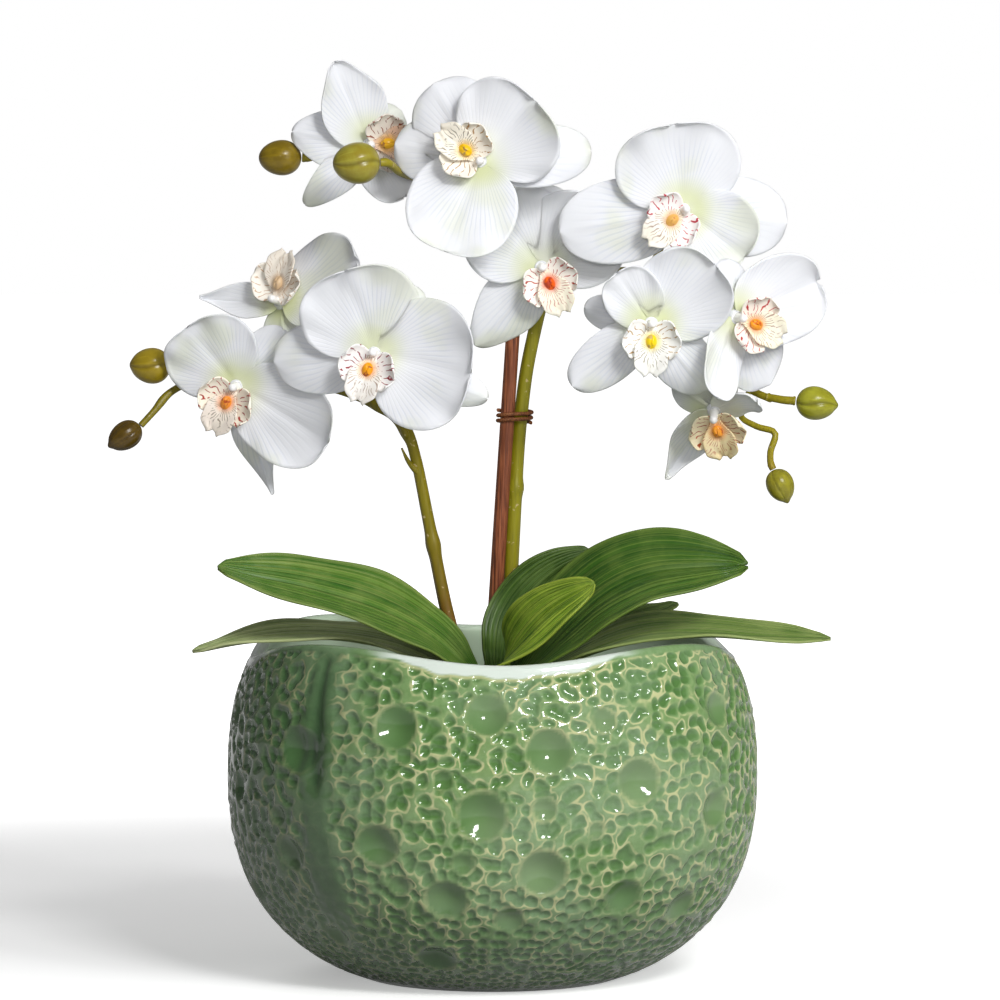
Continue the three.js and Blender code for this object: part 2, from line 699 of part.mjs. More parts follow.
// An egg with a blunt end at its stalk and a small point at its tip, in three soft lobes
function budSolid(bud) {
  const steps = 6;
  const profile = [];
  for (let i = 0; i <= steps; i++) {
    const turn = Math.PI * i / steps;
    profile.push(new THREE.Vector2(
      bud.width / 2 * Math.sin(turn) * (1 + 0.1 * Math.cos(turn)),
      -bud.length / 2 * Math.cos(turn)));
  }
  profile[0].x = 0;
  profile[steps].x = 0;
  const turnUp = new THREE.Quaternion().setFromUnitVectors(new THREE.Vector3(0, 1, 0), budAxis(bud));
  return solidFromGeometry(new THREE.LatheGeometry(profile, 9)
    .applyQuaternion(turnUp)
    .translate(...bud.centre));
}

// The point where a stalk stops short of its bud
function budFoot(bud) {
  return new THREE.Vector3(...bud.centre).addScaledVector(budAxis(bud), -bud.length / 2 - clearance);
}

for (const [name, bud] of Object.entries(buds)) {
  addMesh(name, budSolid(bud), budGreen, planting);
}

// Flower stems with the short stalks of their blooms and buds

function bloomBack(name) {
  return bloomPoint(blooms[name], 0, 0, -1.5 * clearance - hubDepth);
}

function bloomBehind(name, distance) {
  return bloomPoint(blooms[name], 0, 0, -hubDepth - distance);
}

function bloomStalk(from, name) {
  return stemSolid([from, bloomBehind(name, 8).toArray(), bloomBack(name).toArray()],
    pedicelRadius, pedicelRadius * 1.3, 4, 5);
}

function budStalk(route, name, radius) {
  const bud = buds[name];
  const foot = budFoot(bud);
  const before = foot.clone().addScaledVector(budAxis(bud), -2.5);
  return stemSolid([...route, before.toArray(), foot.toArray()], radius, radius * 0.9, 3 + route.length, 5);
}

const leftStem = unite([
  leftStemSolid(0),
  bloomStalk([-35, 5, 112], 'bloom_left_front'),
  bloomStalk([-84, 9, 132.5], 'bloom_left_outer'),
  bloomStalk([-72, 9, 130], 'bloom_left_back'),
  budStalk([[-111, 3, 132.8], [-119, 0, 135.5]], 'bud_left_upper', 1.3),
  stemSolid([[-28.5, 4.5, 93], [-33, 3, 98], [-36, 2, 104]], 1.6, 0.4, 2, 5),
]);
addMesh('stem_left', leftStem, stemGreen, planting);
addMesh('stem_centre', centreStemSolid(0), stemGreen, planting);

const sprayFoot = smoothCurve(centreStemRoute).getPoint(1)
  .addScaledVector(smoothCurve(centreStemRoute).getTangent(1), clearance)
  .toArray();
const leftSprayRoute = [
  sprayFoot, [20.5, 14.6, 166], [21.5, 15, 176], [18, 15, 192], [8, 13, 206], [-10, 12, 216], [-30, 15, 222],
  [-48, 18, 225], [-64, 12, 224],
];
const rightSprayRoute = [
  [20.4, 14.6, 165], [26, 16, 167], [34, 18, 170], [46, 17, 173], [62, 12, 173], [76, 9, 166], [88, 8, 150],
  [96, 7, 137], [103, 4, 127.5], [111, -1, 123.5],
];

function leftSprayStem(extra) {
  return stemSolid(leftSprayRoute, 2.6, 1.5, 14, 6, extra);
}

const leftSpray = unite([
  leftSprayStem(0),
  bloomStalk([20, 15, 184], 'bloom_centre'),
  bloomStalk([-2, 12, 212], 'bloom_top_centre'),
  bloomStalk([-44, 17.5, 224.7], 'bloom_top_left'),
  budStalk([[-61, 13.5, 224.3], [-67.5, 12, 222]], 'bud_top_outer', 1.5),
  budStalk([[-16, 12.5, 218.5], [-27, 2, 212], [-36, -16, 213.5]], 'bud_top_inner', 1.4),
]);
addMesh('spray_left', leftSpray, stemGreen, planting);

const rightSpray = unite([
  stemSolid(rightSprayRoute, 2.4, 1.4, 15, 6),
  bloomStalk([62, 12, 173], 'bloom_right_top'),
  bloomStalk([71.6, 10.4, 169.6], 'bloom_centre_right'),
  bloomStalk([86, 8, 153], 'bloom_right'),
  bloomStalk([98, 6, 134], 'bloom_right_lower'),
  budStalk([[109, 0, 124.5], [114, -3, 123.6]], 'bud_right_upper', 1.5),
  budStalk([[103, 4, 127.5], [99, 1, 117], [105, -2, 113], [112.4, -5, 110.3], [110.6, -6, 103]],
    'bud_right_lower', 1.2),
]).subtract(leftSprayStem(clearance));
addMesh('spray_right', rightSpray, stemGreen, planting);
addMesh('reed_stake', stakeSolid(0), reed, planting);

// Raffia tie: one strand wound round the stake and the centre stem

function routeAt(route, height) {
  const curve = smoothCurve(route);
  const samples = curve.getPoints(200);
  return samples
    .reduce((best, point) => (Math.abs(point.z - height) < Math.abs(best.z - height) ? point : best))
    .clone();
}

// Follows the tight loop round two round posts, climbing one pitch a turn
function tiePath() {
  const posts = [
    { route: stakeRoute, radius: reedRadius + clearance + tieRadius },
    { route: centreStemRoute, radius: centreStemRadius + clearance + tieRadius },
  ];
  const stepsPerTurn = 14;
  const path = [];
  for (let i = 0; i <= stepsPerTurn * tieTurns; i++) {
    const angle = 2 * Math.PI * i / stepsPerTurn;
    const out = new THREE.Vector3(Math.cos(angle), Math.sin(angle), 0);
    const height = tieHeight + tiePitch * i / stepsPerTurn;
    const reaches = posts.map((post) => routeAt(post.route, height).addScaledVector(out, post.radius));
    const point = reaches[0].dot(out) > reaches[1].dot(out) ? reaches[0] : reaches[1];
    path.push(point.setZ(height));
  }
  return path;
}

// The least gap of a wound strand to itself, from its centre line
function leastGap(path, radius, skip) {
  let least = Infinity;
  for (let i = 0; i < path.length; i++) {
    for (let j = i + skip; j < path.length; j++) {
      least = Math.min(least, path[i].distanceTo(path[j]) - 2 * radius);
    }
  }
  return least;
}

function tieSolid() {
  const path = tiePath();
  console.log('raffia tie, least gap to itself in mm', leastGap(path, tieRadius, 8).toFixed(2));
  return stemSolid(path.map((point) => point.toArray()), tieRadius, tieRadius, path.length - 1, 5);
}

addMesh('raffia_tie', tieSolid(), raffia, planting);

export default planter;
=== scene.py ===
# Dresses a planted ceramic bowl in Blender: glaze, leaves, moth orchid blooms and their stage.
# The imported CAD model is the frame. Sizes are in metres, +Z up, front towards -Y.

import math
import random

import bpy
import numpy as np
from mathutils import Matrix, Vector
from mathutils.kdtree import KDTree


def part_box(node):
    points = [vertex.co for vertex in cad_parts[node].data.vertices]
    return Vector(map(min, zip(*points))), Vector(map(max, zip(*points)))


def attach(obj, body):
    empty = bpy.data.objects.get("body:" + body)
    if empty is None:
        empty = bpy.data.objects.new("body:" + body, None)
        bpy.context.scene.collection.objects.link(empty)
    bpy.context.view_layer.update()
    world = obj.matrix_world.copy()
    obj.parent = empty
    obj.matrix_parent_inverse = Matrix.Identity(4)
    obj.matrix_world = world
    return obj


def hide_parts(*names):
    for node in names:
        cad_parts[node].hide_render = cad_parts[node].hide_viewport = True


bl_info = {
    "name": "Orchid Planter",
    "version": (1, 0, 0),
    "blender": (4, 5, 0),
    "location": "3D View > Sidebar > Planter",
    "description": "Glazes a cratered ceramic bowl and dresses its planting of white moth orchids",
    "category": "Object",
}

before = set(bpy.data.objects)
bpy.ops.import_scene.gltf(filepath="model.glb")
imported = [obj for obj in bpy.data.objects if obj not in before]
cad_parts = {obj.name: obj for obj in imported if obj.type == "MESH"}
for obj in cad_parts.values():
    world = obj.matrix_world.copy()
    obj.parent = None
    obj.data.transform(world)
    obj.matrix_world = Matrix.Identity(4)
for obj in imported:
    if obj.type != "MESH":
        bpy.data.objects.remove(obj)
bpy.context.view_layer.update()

mm = 0.001
crown_top = 16 * mm
planting_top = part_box("leaf_crown")[1].z - crown_top

# Bowl, as in the part's source
foot_radius = 52 * mm
belly_radius = 108.4 * mm
belly_height = 85 * mm
rim_radius = 99.5 * mm
rim_height = 134 * mm
rim_swing = 4 * mm
rim_saddle = 1.85 * mm
bowl_wall = 6 * mm
bowl_floor = 8 * mm
lobe_swell = 0.03
lobe_turn = math.radians(48)
lip_round = 2.6 * mm

# Hollows pressed into the wall: degrees round from the front, height and width in millimetres
hollows = [
    (-42, 98, 19), (-20, 109, 17), (-1, 114, 17), (-2, 76, 20), (-24, 63, 17), (-10, 42, 17),
    (-48, 71, 9), (-46, 58, 15), (-66, 80, 13), (-6, 57, 9), (-26, 119, 7), (-25, 100, 6),
    (-18, 98, 7), (-10, 89, 8), (-15, 17, 16), (-42, 24, 12), (-20, 47, 9), (12, 100, 18),
    (31, 88, 18), (53, 112, 14), (51, 73, 16), (11, 53, 19), (30, 42, 15), (48, 36, 15),
    (24, 111, 10), (68, 74, 12), (45, 98, 6), (22, 70, 7), (4, 34, 12), (11, 77, 10),
    (-74, 108, 15), (-84, 62, 17), (-70, 38, 14), (82, 100, 16), (92, 58, 18), (74, 28, 13),
    (104, 112, 13), (112, 82, 18), (126, 46, 16), (136, 104, 18), (148, 66, 14), (160, 92, 19),
    (168, 36, 15), (178, 112, 15), (-172, 72, 18), (-158, 104, 17), (-152, 48, 16), (-138, 82, 19),
    (-128, 114, 13), (-122, 40, 15), (-110, 88, 18), (-98, 112, 12), (-102, 30, 12), (140, 24, 12),
]


def smooth_step(value, low, high):
    share = np.clip((value - low) / (high - low), 0, 1)
    return share * share * (3 - 2 * share)


def mix_numbers(low, high, share):
    return low + (high - low) * share


# Objects


def deselect_all():
    if bpy.context.object and bpy.context.object.mode != "OBJECT":
        bpy.ops.object.mode_set(mode="OBJECT")
    bpy.ops.object.select_all(action="DESELECT")


def make_active(piece):
    deselect_all()
    piece.select_set(True)
    bpy.context.view_layer.objects.active = piece


def new_grid(name, columns, rows):
    """A flat grid whose points stand for shares across and along a piece."""
    deselect_all()
    bpy.ops.mesh.primitive_grid_add(x_subdivisions=columns, y_subdivisions=rows, size=1)
    piece = bpy.context.object
    piece.name = name
    piece.data.name = name
    return piece


def read_points(piece):
    points = np.empty(len(piece.data.vertices) * 3, np.float32)
    piece.data.vertices.foreach_get("co", points)
    return points.reshape(-1, 3).astype(float)


def write_points(piece, points):
    piece.data.vertices.foreach_set("co", np.asarray(points, np.float32).ravel())
    piece.data.update()


def grid_shares(piece):
    points = read_points(piece)
    return points[:, 0] + 0.5, points[:, 1] + 0.5


def read_normals(piece):
    normals = np.empty(len(piece.data.vertices) * 3, np.float32)
    piece.data.vertices.foreach_get("normal", normals)
    return normals.reshape(-1, 3).astype(float)


def write_attribute(piece, name, values, kind="FLOAT"):
    attribute = piece.data.attributes.new(name, kind, "POINT")
    field = "vector" if kind == "FLOAT_VECTOR" else "value"
    attribute.data.foreach_set(field, np.asarray(values, np.float32).ravel())


def take_values(piece, name):
    """Reads a value that was kept for each point, and removes it from the piece."""
    attribute = piece.data.attributes[name]
    values = np.empty(len(piece.data.vertices), np.float32)
    attribute.data.foreach_get("value", values)
    piece.data.attributes.remove(attribute)
    return values


def close_seams(piece, distance=0.00001):
    """Merges points that lie together and turns the faces outwards."""
    make_active(piece)
    bpy.ops.object.mode_set(mode="EDIT")
    bpy.ops.mesh.select_all(action="SELECT")
    bpy.ops.mesh.remove_doubles(threshold=distance)
    bpy.ops.mesh.normals_make_consistent(inside=False)
    bpy.ops.object.mode_set(mode="OBJECT")


def apply_modifiers(piece):
    make_active(piece)
    for modifier in list(piece.modifiers):
        bpy.ops.object.modifier_apply(modifier=modifier.name)


def thicken(piece, thickness):
    solidify = piece.modifiers.new("Thickness", "SOLIDIFY")
    solidify.thickness = thickness
    solidify.offset = 0
    apply_modifiers(piece)


def smooth_shade(piece, degrees=180):
    make_active(piece)
    if degrees >= 180:
        bpy.ops.object.shade_smooth()
    else:
        bpy.ops.object.shade_smooth_by_angle(angle=math.radians(degrees))


def join_pieces(pieces, name):
    deselect_all()
    for piece in pieces:
        piece.select_set(True)
    bpy.context.view_layer.objects.active = pieces[0]
    if len(pieces) > 1:
        bpy.ops.object.join()
    joined = bpy.context.view_layer.objects.active
    joined.name = name
    joined.data.name = name
    return joined


def set_material(piece, material):
    piece.data.materials.clear()
    piece.data.materials.append(material)


def set_in_place(piece, body, slot_name, *nodes):
    """Hands a finished piece to the frame, in the place of the CAD nodes it stands for."""
    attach(piece, body)
    if nodes:
        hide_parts(*nodes)


# Curves


def route_points(stations, count):
    """Evenly spaced points along a centripetal curve through the stations."""
    given = np.array(stations, float)
    before = 2 * given[0] - given[1]
    after = 2 * given[-1] - given[-2]
    given = np.vstack([before, given, after])
    dense = []
    for i in range(1, len(given) - 2):
        p0, p1, p2, p3 = given[i - 1:i + 3]
        d0, d1, d2 = [max(np.linalg.norm(b - a) ** 0.5, 1e-6) for a, b in ((p0, p1), (p1, p2), (p2, p3))]
        t1 = ((p1 - p0) / d0 - (p2 - p0) / (d0 + d1) + (p2 - p1) / d1) * d1
        t2 = ((p2 - p1) / d1 - (p3 - p1) / (d1 + d2) + (p3 - p2) / d2) * d1
        square = 3 * (p2 - p1) - 2 * t1 - t2
        cube = 2 * (p1 - p2) + t1 + t2
        t = np.linspace(0, 1, 60, endpoint=False)[:, None]
        dense.append(p1 + t1 * t + square * t ** 2 + cube * t ** 3)
    dense = np.vstack([*dense, given[-2][None]])
    lengths = np.concatenate([[0], np.cumsum(np.linalg.norm(np.diff(dense, axis=0), axis=1))])
    at = np.linspace(0, lengths[-1], count)
    return np.stack([np.interp(at, lengths, dense[:, k]) for k in range(3)], axis=1)


def unit(vectors):
    return vectors / np.maximum(np.linalg.norm(vectors, axis=-1, keepdims=True), 1e-12)


def route_frames(points):
    """A direction and two steady cross directions at each point of a route."""
    along = unit(np.gradient(points, axis=0))
    side = np.zeros_like(points)
    start = np.cross(along[0], [0.0, 0.0, 1.0])
    if np.linalg.norm(start) < 0.1:
        start = np.cross(along[0], [0.0, 1.0, 0.0])
    side[0] = unit(start)
    for i in range(1, len(points)):
        side[i] = unit(side[i - 1] - along[i] * np.dot(side[i - 1], along[i]))
    return along, side, np.cross(along, side)


def new_tube(name, stations, radius_at, sides, rings, ripple=None):
    """A closed round piece along a route. radius_at gives its radius from the share along it."""
    piece = new_grid(name, sides, rings + 2)
    around, rise = grid_shares(piece)
    row = np.rint(rise * (rings + 2)).astype(int)
    centres = route_points(stations, rings + 1)
    _, side, across = route_frames(centres)
    step = np.clip(row - 1, 0, rings)
    share = step / rings
    turn = 2 * np.pi * around
    radius = radius_at(share)
    if ripple is not None:
        radius = radius + ripple(turn, share)
    radius = np.where((row == 0) | (row == rings + 2), 0, radius)
    points = centres[step] + radius[:, None] * (
        np.cos(turn)[:, None] * side[step] + np.sin(turn)[:, None] * across[step])
    write_points(piece, points)
    close_seams(piece, 0.000002)
    smooth_shade(piece, 50)
    return piece


# Materials


def new_material(name):
    material = bpy.data.materials.new(name)
    material.use_nodes = True
    shader = material.node_tree.nodes["Principled BSDF"]
    return material, shader


def add_node(material, kind, **settings):
    node = material.node_tree.nodes.new(kind)
    for key, value in settings.items():
        if key.startswith("in_"):
            socket = int(key[3:]) if key[3:].isdigit() else key[3:].replace("_", " ")
            node.inputs[socket].default_value = value
        else:
            setattr(node, key, value)
    return node


def link(material, source, target):
    material.node_tree.links.new(source, target)


def add_ramp(material, factor, stops):
    ramp = add_node(material, "ShaderNodeValToRGB")
    while len(ramp.color_ramp.elements) < len(stops):
        ramp.color_ramp.elements.new(0.5)
    for element, (place, colour) in zip(ramp.color_ramp.elements, stops):
        element.position = place
        element.color = (*colour, 1)
    link(material, factor, ramp.inputs["Fac"])
    return ramp.outputs["Color"]


def add_mix(material, factor, first, second):
    mix = add_node(material, "ShaderNodeMix", data_type="RGBA")
    for socket, value in ((mix.inputs[0], factor), (mix.inputs[6], first), (mix.inputs[7], second)):
        if isinstance(value, bpy.types.NodeSocket):
            link(material, value, socket)
        else:
            socket.default_value = (*value, 1)
    return mix.outputs[2]


def add_math(material, operation, first, second=0.0, third=0.0, clamp=False):
    node = add_node(material, "ShaderNodeMath", operation=operation, use_clamp=clamp)
    for socket, value in zip(node.inputs, (first, second, third)):
        if isinstance(value, bpy.types.NodeSocket):
            link(material, value, socket)
        else:
            socket.default_value = value
    return node.outputs[0]


def add_range(material, value, low, high, out_low=0.0, out_high=1.0):
    node = add_node(material, "ShaderNodeMapRange", interpolation_type="SMOOTHSTEP",
                    in_1=low, in_2=high, in_3=out_low, in_4=out_high)
    link(material, value, node.inputs[0])
    return node.outputs[0]


def add_noise(material, vector, scale, detail=3.0, roughness=0.5):
    node = add_node(material, "ShaderNodeTexNoise", in_Scale=scale, in_Detail=detail,
                    in_Roughness=roughness)
    link(material, vector, node.inputs["Vector"])
    return node


def add_bump(material, shader, height, strength, distance):
    bump = add_node(material, "ShaderNodeBump", in_Strength=strength, in_Distance=distance)
    link(material, height, bump.inputs["Height"])
    link(material, bump.outputs["Normal"], shader.inputs["Normal"])


def paint(red, green, blue):
    """A colour as it looks on screen, 0 to 255, turned into light."""
    shares = [value / 255 for value in (red, green, blue)]
    return tuple(c / 12.92 if c <= 0.04045 else ((c + 0.055) / 1.055) ** 2.4 for c in shares)


def toned(colour, share):
    """A colour made darker, or lighter, by a share."""
    return tuple(part * share for part in colour)


def read_attribute(material, name, output="Fac"):
    return add_node(material, "ShaderNodeAttribute", attribute_name=name).outputs[output]


def object_place(material):
    return add_node(material, "ShaderNodeTexCoord").outputs["Object"]


def surface_place(material, across, along):
    """The piece's own UV map, stretched to a number of repeats across and along."""
    uv = add_node(material, "ShaderNodeTexCoord").outputs["UV"]
    mapping = add_node(material, "ShaderNodeMapping", in_Scale=(across, along, 1))
    link(material, uv, mapping.inputs["Vector"])
    return mapping.outputs["Vector"]


def split_place(material, vector):
    node = add_node(material, "ShaderNodeSeparateXYZ")
    link(material, vector, node.inputs[0])
    return node.outputs


# Settings


class GlazeSettings(bpy.types.PropertyGroup):
    pit_size: bpy.props.FloatProperty(
        name="Pit size", description="Typical width of the small pits in the glaze",
        default=5.6 * mm, min=0.003, max=0.02, unit="LENGTH")
    pit_depth: bpy.props.FloatProperty(
        name="Pit depth", description="How deep the small pits lie under their ridges",
        default=1.15 * mm, min=0.0, max=0.003, unit="LENGTH")
    hollow_depth: bpy.props.FloatProperty(
        name="Hollow depth", description="Depth of a large round hollow as a share of its width",
        default=0.2, min=0.0, max=0.3, subtype="FACTOR")
    pit_colour: bpy.props.FloatVectorProperty(
        name="Pit colour", description="Glaze where it pools in the pits", size=3, subtype="COLOR",
        default=(0.082, 0.185, 0.046), min=0, max=1)
    wall_colour: bpy.props.FloatVectorProperty(
        name="Wall colour", description="Glaze on the flanks between pit and ridge", size=3,
        subtype="COLOR", default=(0.190, 0.315, 0.118), min=0, max=1)
    ridge_colour: bpy.props.FloatVectorProperty(
        name="Ridge colour", description="Thin glaze that breaks cream over the ridges", size=3,
        subtype="COLOR", default=(0.56, 0.56, 0.29), min=0, max=1)
    # Painted shade: this dark green is mixed into the glaze towards the foot and on the bowl's left side,
    # where the bowl lies in shade
    painted_shade_colour: bpy.props.FloatVectorProperty(
        name="Foot colour", description="Glaze where it has run thick towards the foot", size=3,
        subtype="COLOR", default=(0.030, 0.080, 0.034), min=0, max=1)
    lip_colour: bpy.props.FloatVectorProperty(
        name="Lip colour", description="White glaze on the lip", size=3, subtype="COLOR",
        default=(0.66, 0.73, 0.66), min=0, max=1)
    inside_colour: bpy.props.FloatVectorProperty(
        name="Inside colour", description="Pale glaze inside the bowl", size=3, subtype="COLOR",
        default=(0.50, 0.62, 0.46), min=0, max=1)


class LeafSettings(bpy.types.PropertyGroup):
    thickness: bpy.props.FloatProperty(
        name="Thickness", description="Thickness of a leaf", default=1.0 * mm, min=0.0003,
        max=0.0017, unit="LENGTH")
    rib_depth: bpy.props.FloatProperty(
        name="Rib depth", description="Depth of the lengthwise ribs", default=0.16 * mm, min=0,
        max=0.0005, unit="LENGTH")


class BloomSettings(bpy.types.PropertyGroup):
    petal_thickness: bpy.props.FloatProperty(
        name="Petal thickness", description="Thickness of a petal", default=0.5 * mm, min=0.0002,
        max=0.0008, unit="LENGTH")
    petal_colour: bpy.props.FloatVectorProperty(
        name="Petal colour", description="White of the petals", size=3, subtype="COLOR",
        default=(0.83, 0.84, 0.87), min=0, max=1)
    throat_colour: bpy.props.FloatVectorProperty(
        name="Throat colour", description="Tint of the petals near the middle of a bloom", size=3,
        subtype="COLOR", default=(0.66, 0.70, 0.42), min=0, max=1)
    ruffle: bpy.props.FloatProperty(
        name="Ruffle", description="Height of the waves along a petal's edge", default=1.3 * mm,
        min=0, max=0.003, unit="LENGTH")


class StageSettings(bpy.types.PropertyGroup):
    key_power: bpy.props.FloatProperty(
        name="Key light", description="Power of the large lamp at the right front", default=8.5,
        min=0, max=500, unit="POWER")
    glint_power: bpy.props.FloatProperty(
        name="Glint light", description="Power of the small lamp that glints in the glaze",
        default=11.0, min=0, max=100, unit="POWER")
    bloom_power: bpy.props.FloatProperty(
        name="Bloom light", description="Power of the soft spot lamp that evens out the blooms",
        default=85.0, min=0, max=500, unit="POWER")
    back_power: bpy.props.FloatProperty(
        name="Back light", description="Power of the large lamp behind the object", default=12.0,
        min=0, max=200, unit="POWER")
    bowl_power: bpy.props.FloatProperty(
        name="Bowl light", description="Power of the spot lamp that lights the bowl from the right",
        default=60.0, min=0, max=500, unit="POWER")
    room_light: bpy.props.FloatProperty(
        name="Room light", description="Strength of the even light from all sides", default=0.15,
        min=0, max=3)
    floor_lift: bpy.props.FloatProperty(
        name="Floor lift", description="Glow of the white floor beside the object", default=0.3,
        min=0, max=1, subtype="FACTOR")


# Bowl


def bezier(corner_points, count):
    p = np.array(corner_points, float)
    t = np.linspace(0, 1, count)[:, None]
    return (1 - t) ** 3 * p[0] + 3 * (1 - t) ** 2 * t * p[1] + 3 * (1 - t) * t * t * p[2] + t ** 3 * p[3]


def wall_profile(lower_rows, upper_rows):
    lower = bezier([
        (foot_radius, 0), (mix_numbers(foot_radius, belly_radius, 0.58), 0.13 * belly_height),
        (belly_radius + 1 * mm, 0.45 * belly_height), (belly_radius, belly_height)], lower_rows)
    upper = bezier([
        (belly_radius, belly_height), (belly_radius, mix_numbers(belly_height, rim_height, 0.42)),
        (mix_numbers(rim_radius, belly_radius, 0.6), mix_numbers(rim_height, belly_height, 0.28)),
        (rim_radius, rim_height - lip_round)], upper_rows)
    return np.vstack([lower[:-1], upper])


def bowl_profile():
    """Radius and height from the middle of the foot, up the wall, over the lip and down inside.
    The third column tells foot 0, wall 1, lip 2 and inside 3 apart."""
    foot = np.array([(0, 0), (0.4, 0), (0.8, 0), (0.96, 0)]) * foot_radius
    wall = wall_profile(92, 62)
    turn = np.linspace(0, np.pi, 12)[1:-1]
    lip = np.stack([
        rim_radius - bowl_wall / 2 + np.cos(turn) * bowl_wall / 2,
        rim_height - lip_round + np.sin(turn) * lip_round], axis=1)
    inner = wall_profile(14, 12)[::-1] - (bowl_wall, 0)
    inner = inner[inner[:, 1] > bowl_floor + 3 * mm]
    edge = inner[-1, 0]
    floor = np.array([(edge - 7 * mm, bowl_floor), (edge * 0.5, bowl_floor), (0, bowl_floor)])
    parts = [foot, wall, lip, np.vstack([inner, floor])]
    kinds = np.concatenate([np.full(len(part), k) for k, part in enumerate(parts)])
    return np.column_stack([np.vstack(parts), kinds])


def shape_corners(radius, height, angle):
    corner = np.cos(4 * (angle - lobe_turn))
    swell = 1 + lobe_swell * corner * smooth_step(height, 0, belly_height)
    sway = rim_swing * corner + rim_saddle * np.cos(2 * angle)
    lift = sway * (np.maximum(height, 0) / rim_height) ** 3
    reach = radius * swell
    return np.stack([reach * np.sin(angle), -reach * np.cos(angle), height + lift], axis=-1)


def wall_point(degrees, height):
    """The point of the smooth outer wall at a height, some degrees round from the front."""
    profile = wall_profile(60, 60)
    angle = math.radians(degrees)
    placed = shape_corners(profile[:, 0], profile[:, 1], np.full(len(profile), angle))
    nearest = np.argmin(np.abs(placed[:, 2] - height))
    return placed[nearest]


# The hollows' dish grows steeper with this power. A low ring stands round each: its height,
# and its place and spread in radii of the hollow
dish_power = 1.4
ring_height = 0.32 * mm
ring_place = 1.04
ring_spread = 0.13


def press_hollows(points, normals, on_wall, depth_share):
    """Presses the round hollows into the wall and returns how far inside one each point lies."""
    tree = KDTree(len(points))
    for index, point in enumerate(points):
        tree.insert(point, index)
    tree.balance()
    offset = np.zeros(len(points))
    inside = np.zeros(len(points))
    for degrees, height, width in hollows:
        centre = wall_point(degrees, height * mm)
        reach = width * mm / 2
        near = tree.find_range(centre, reach * 1.5)
        index = np.array([item[1] for item in near])
        away = np.array([item[2] for item in near]) / reach
        dish = np.maximum(0, 1 - away ** 2) ** dish_power * depth_share * width * mm
        ring = ring_height * np.exp(-((away - ring_place) / ring_spread) ** 2)
        offset[index] += ring - dish
        inside[index] = np.maximum(inside[index], smooth_step(away, 1.12, 0.86))
    return points + normals * (offset * on_wall)[:, None], inside


# Corner bands, in degrees round from the front: their places, where their smooth flanks begin
# and end beside the middle, the spread of the groove in them and how far they wander
corner_creases = [-37.5, 142]
crease_flank = (2.4, 5.0)
groove_spread = 1.25
crease_wander = 0.6

# The groove's lower end and depth, and how far the band stands out beside it
crease_bottom = 82 * mm
groove_depth = 1.3 * mm
band_swell = 0.7 * mm


def crease_shares(points, on_wall):
    """Shares of the smooth upright band at each corner and of the groove in it."""
    angle = np.degrees(np.arctan2(points[:, 0], -points[:, 1]))
    band = np.zeros(len(points))
    groove = np.zeros(len(points))
    for place in corner_creases:
        away = np.abs((angle - place + 180) % 360 - 180)
        away = away + crease_wander * np.sin(points[:, 2] / (9 * mm))
        band = np.maximum(band, 1 - smooth_step(away, *crease_flank))
        groove = np.maximum(groove, np.exp(-(away / groove_spread) ** 2))
    depth = smooth_step(points[:, 2], crease_bottom - 2 * mm, crease_bottom + 6 * mm)
    fade = smooth_step(points[:, 2], 12 * mm, 40 * mm)
    return band * on_wall * fade, groove * on_wall * depth


# Pits: how far and how finely their pattern is pushed about, how uneven and how rounded its
# cells are, and where a pit's floor ends and its rim begins, in widths of a pit
pit_warp = 6 * mm
pit_warp_scale = 120.0
pit_randomness = 0.8
pit_smoothness = 0.3
pit_core = 0.12
pit_rim = 0.56


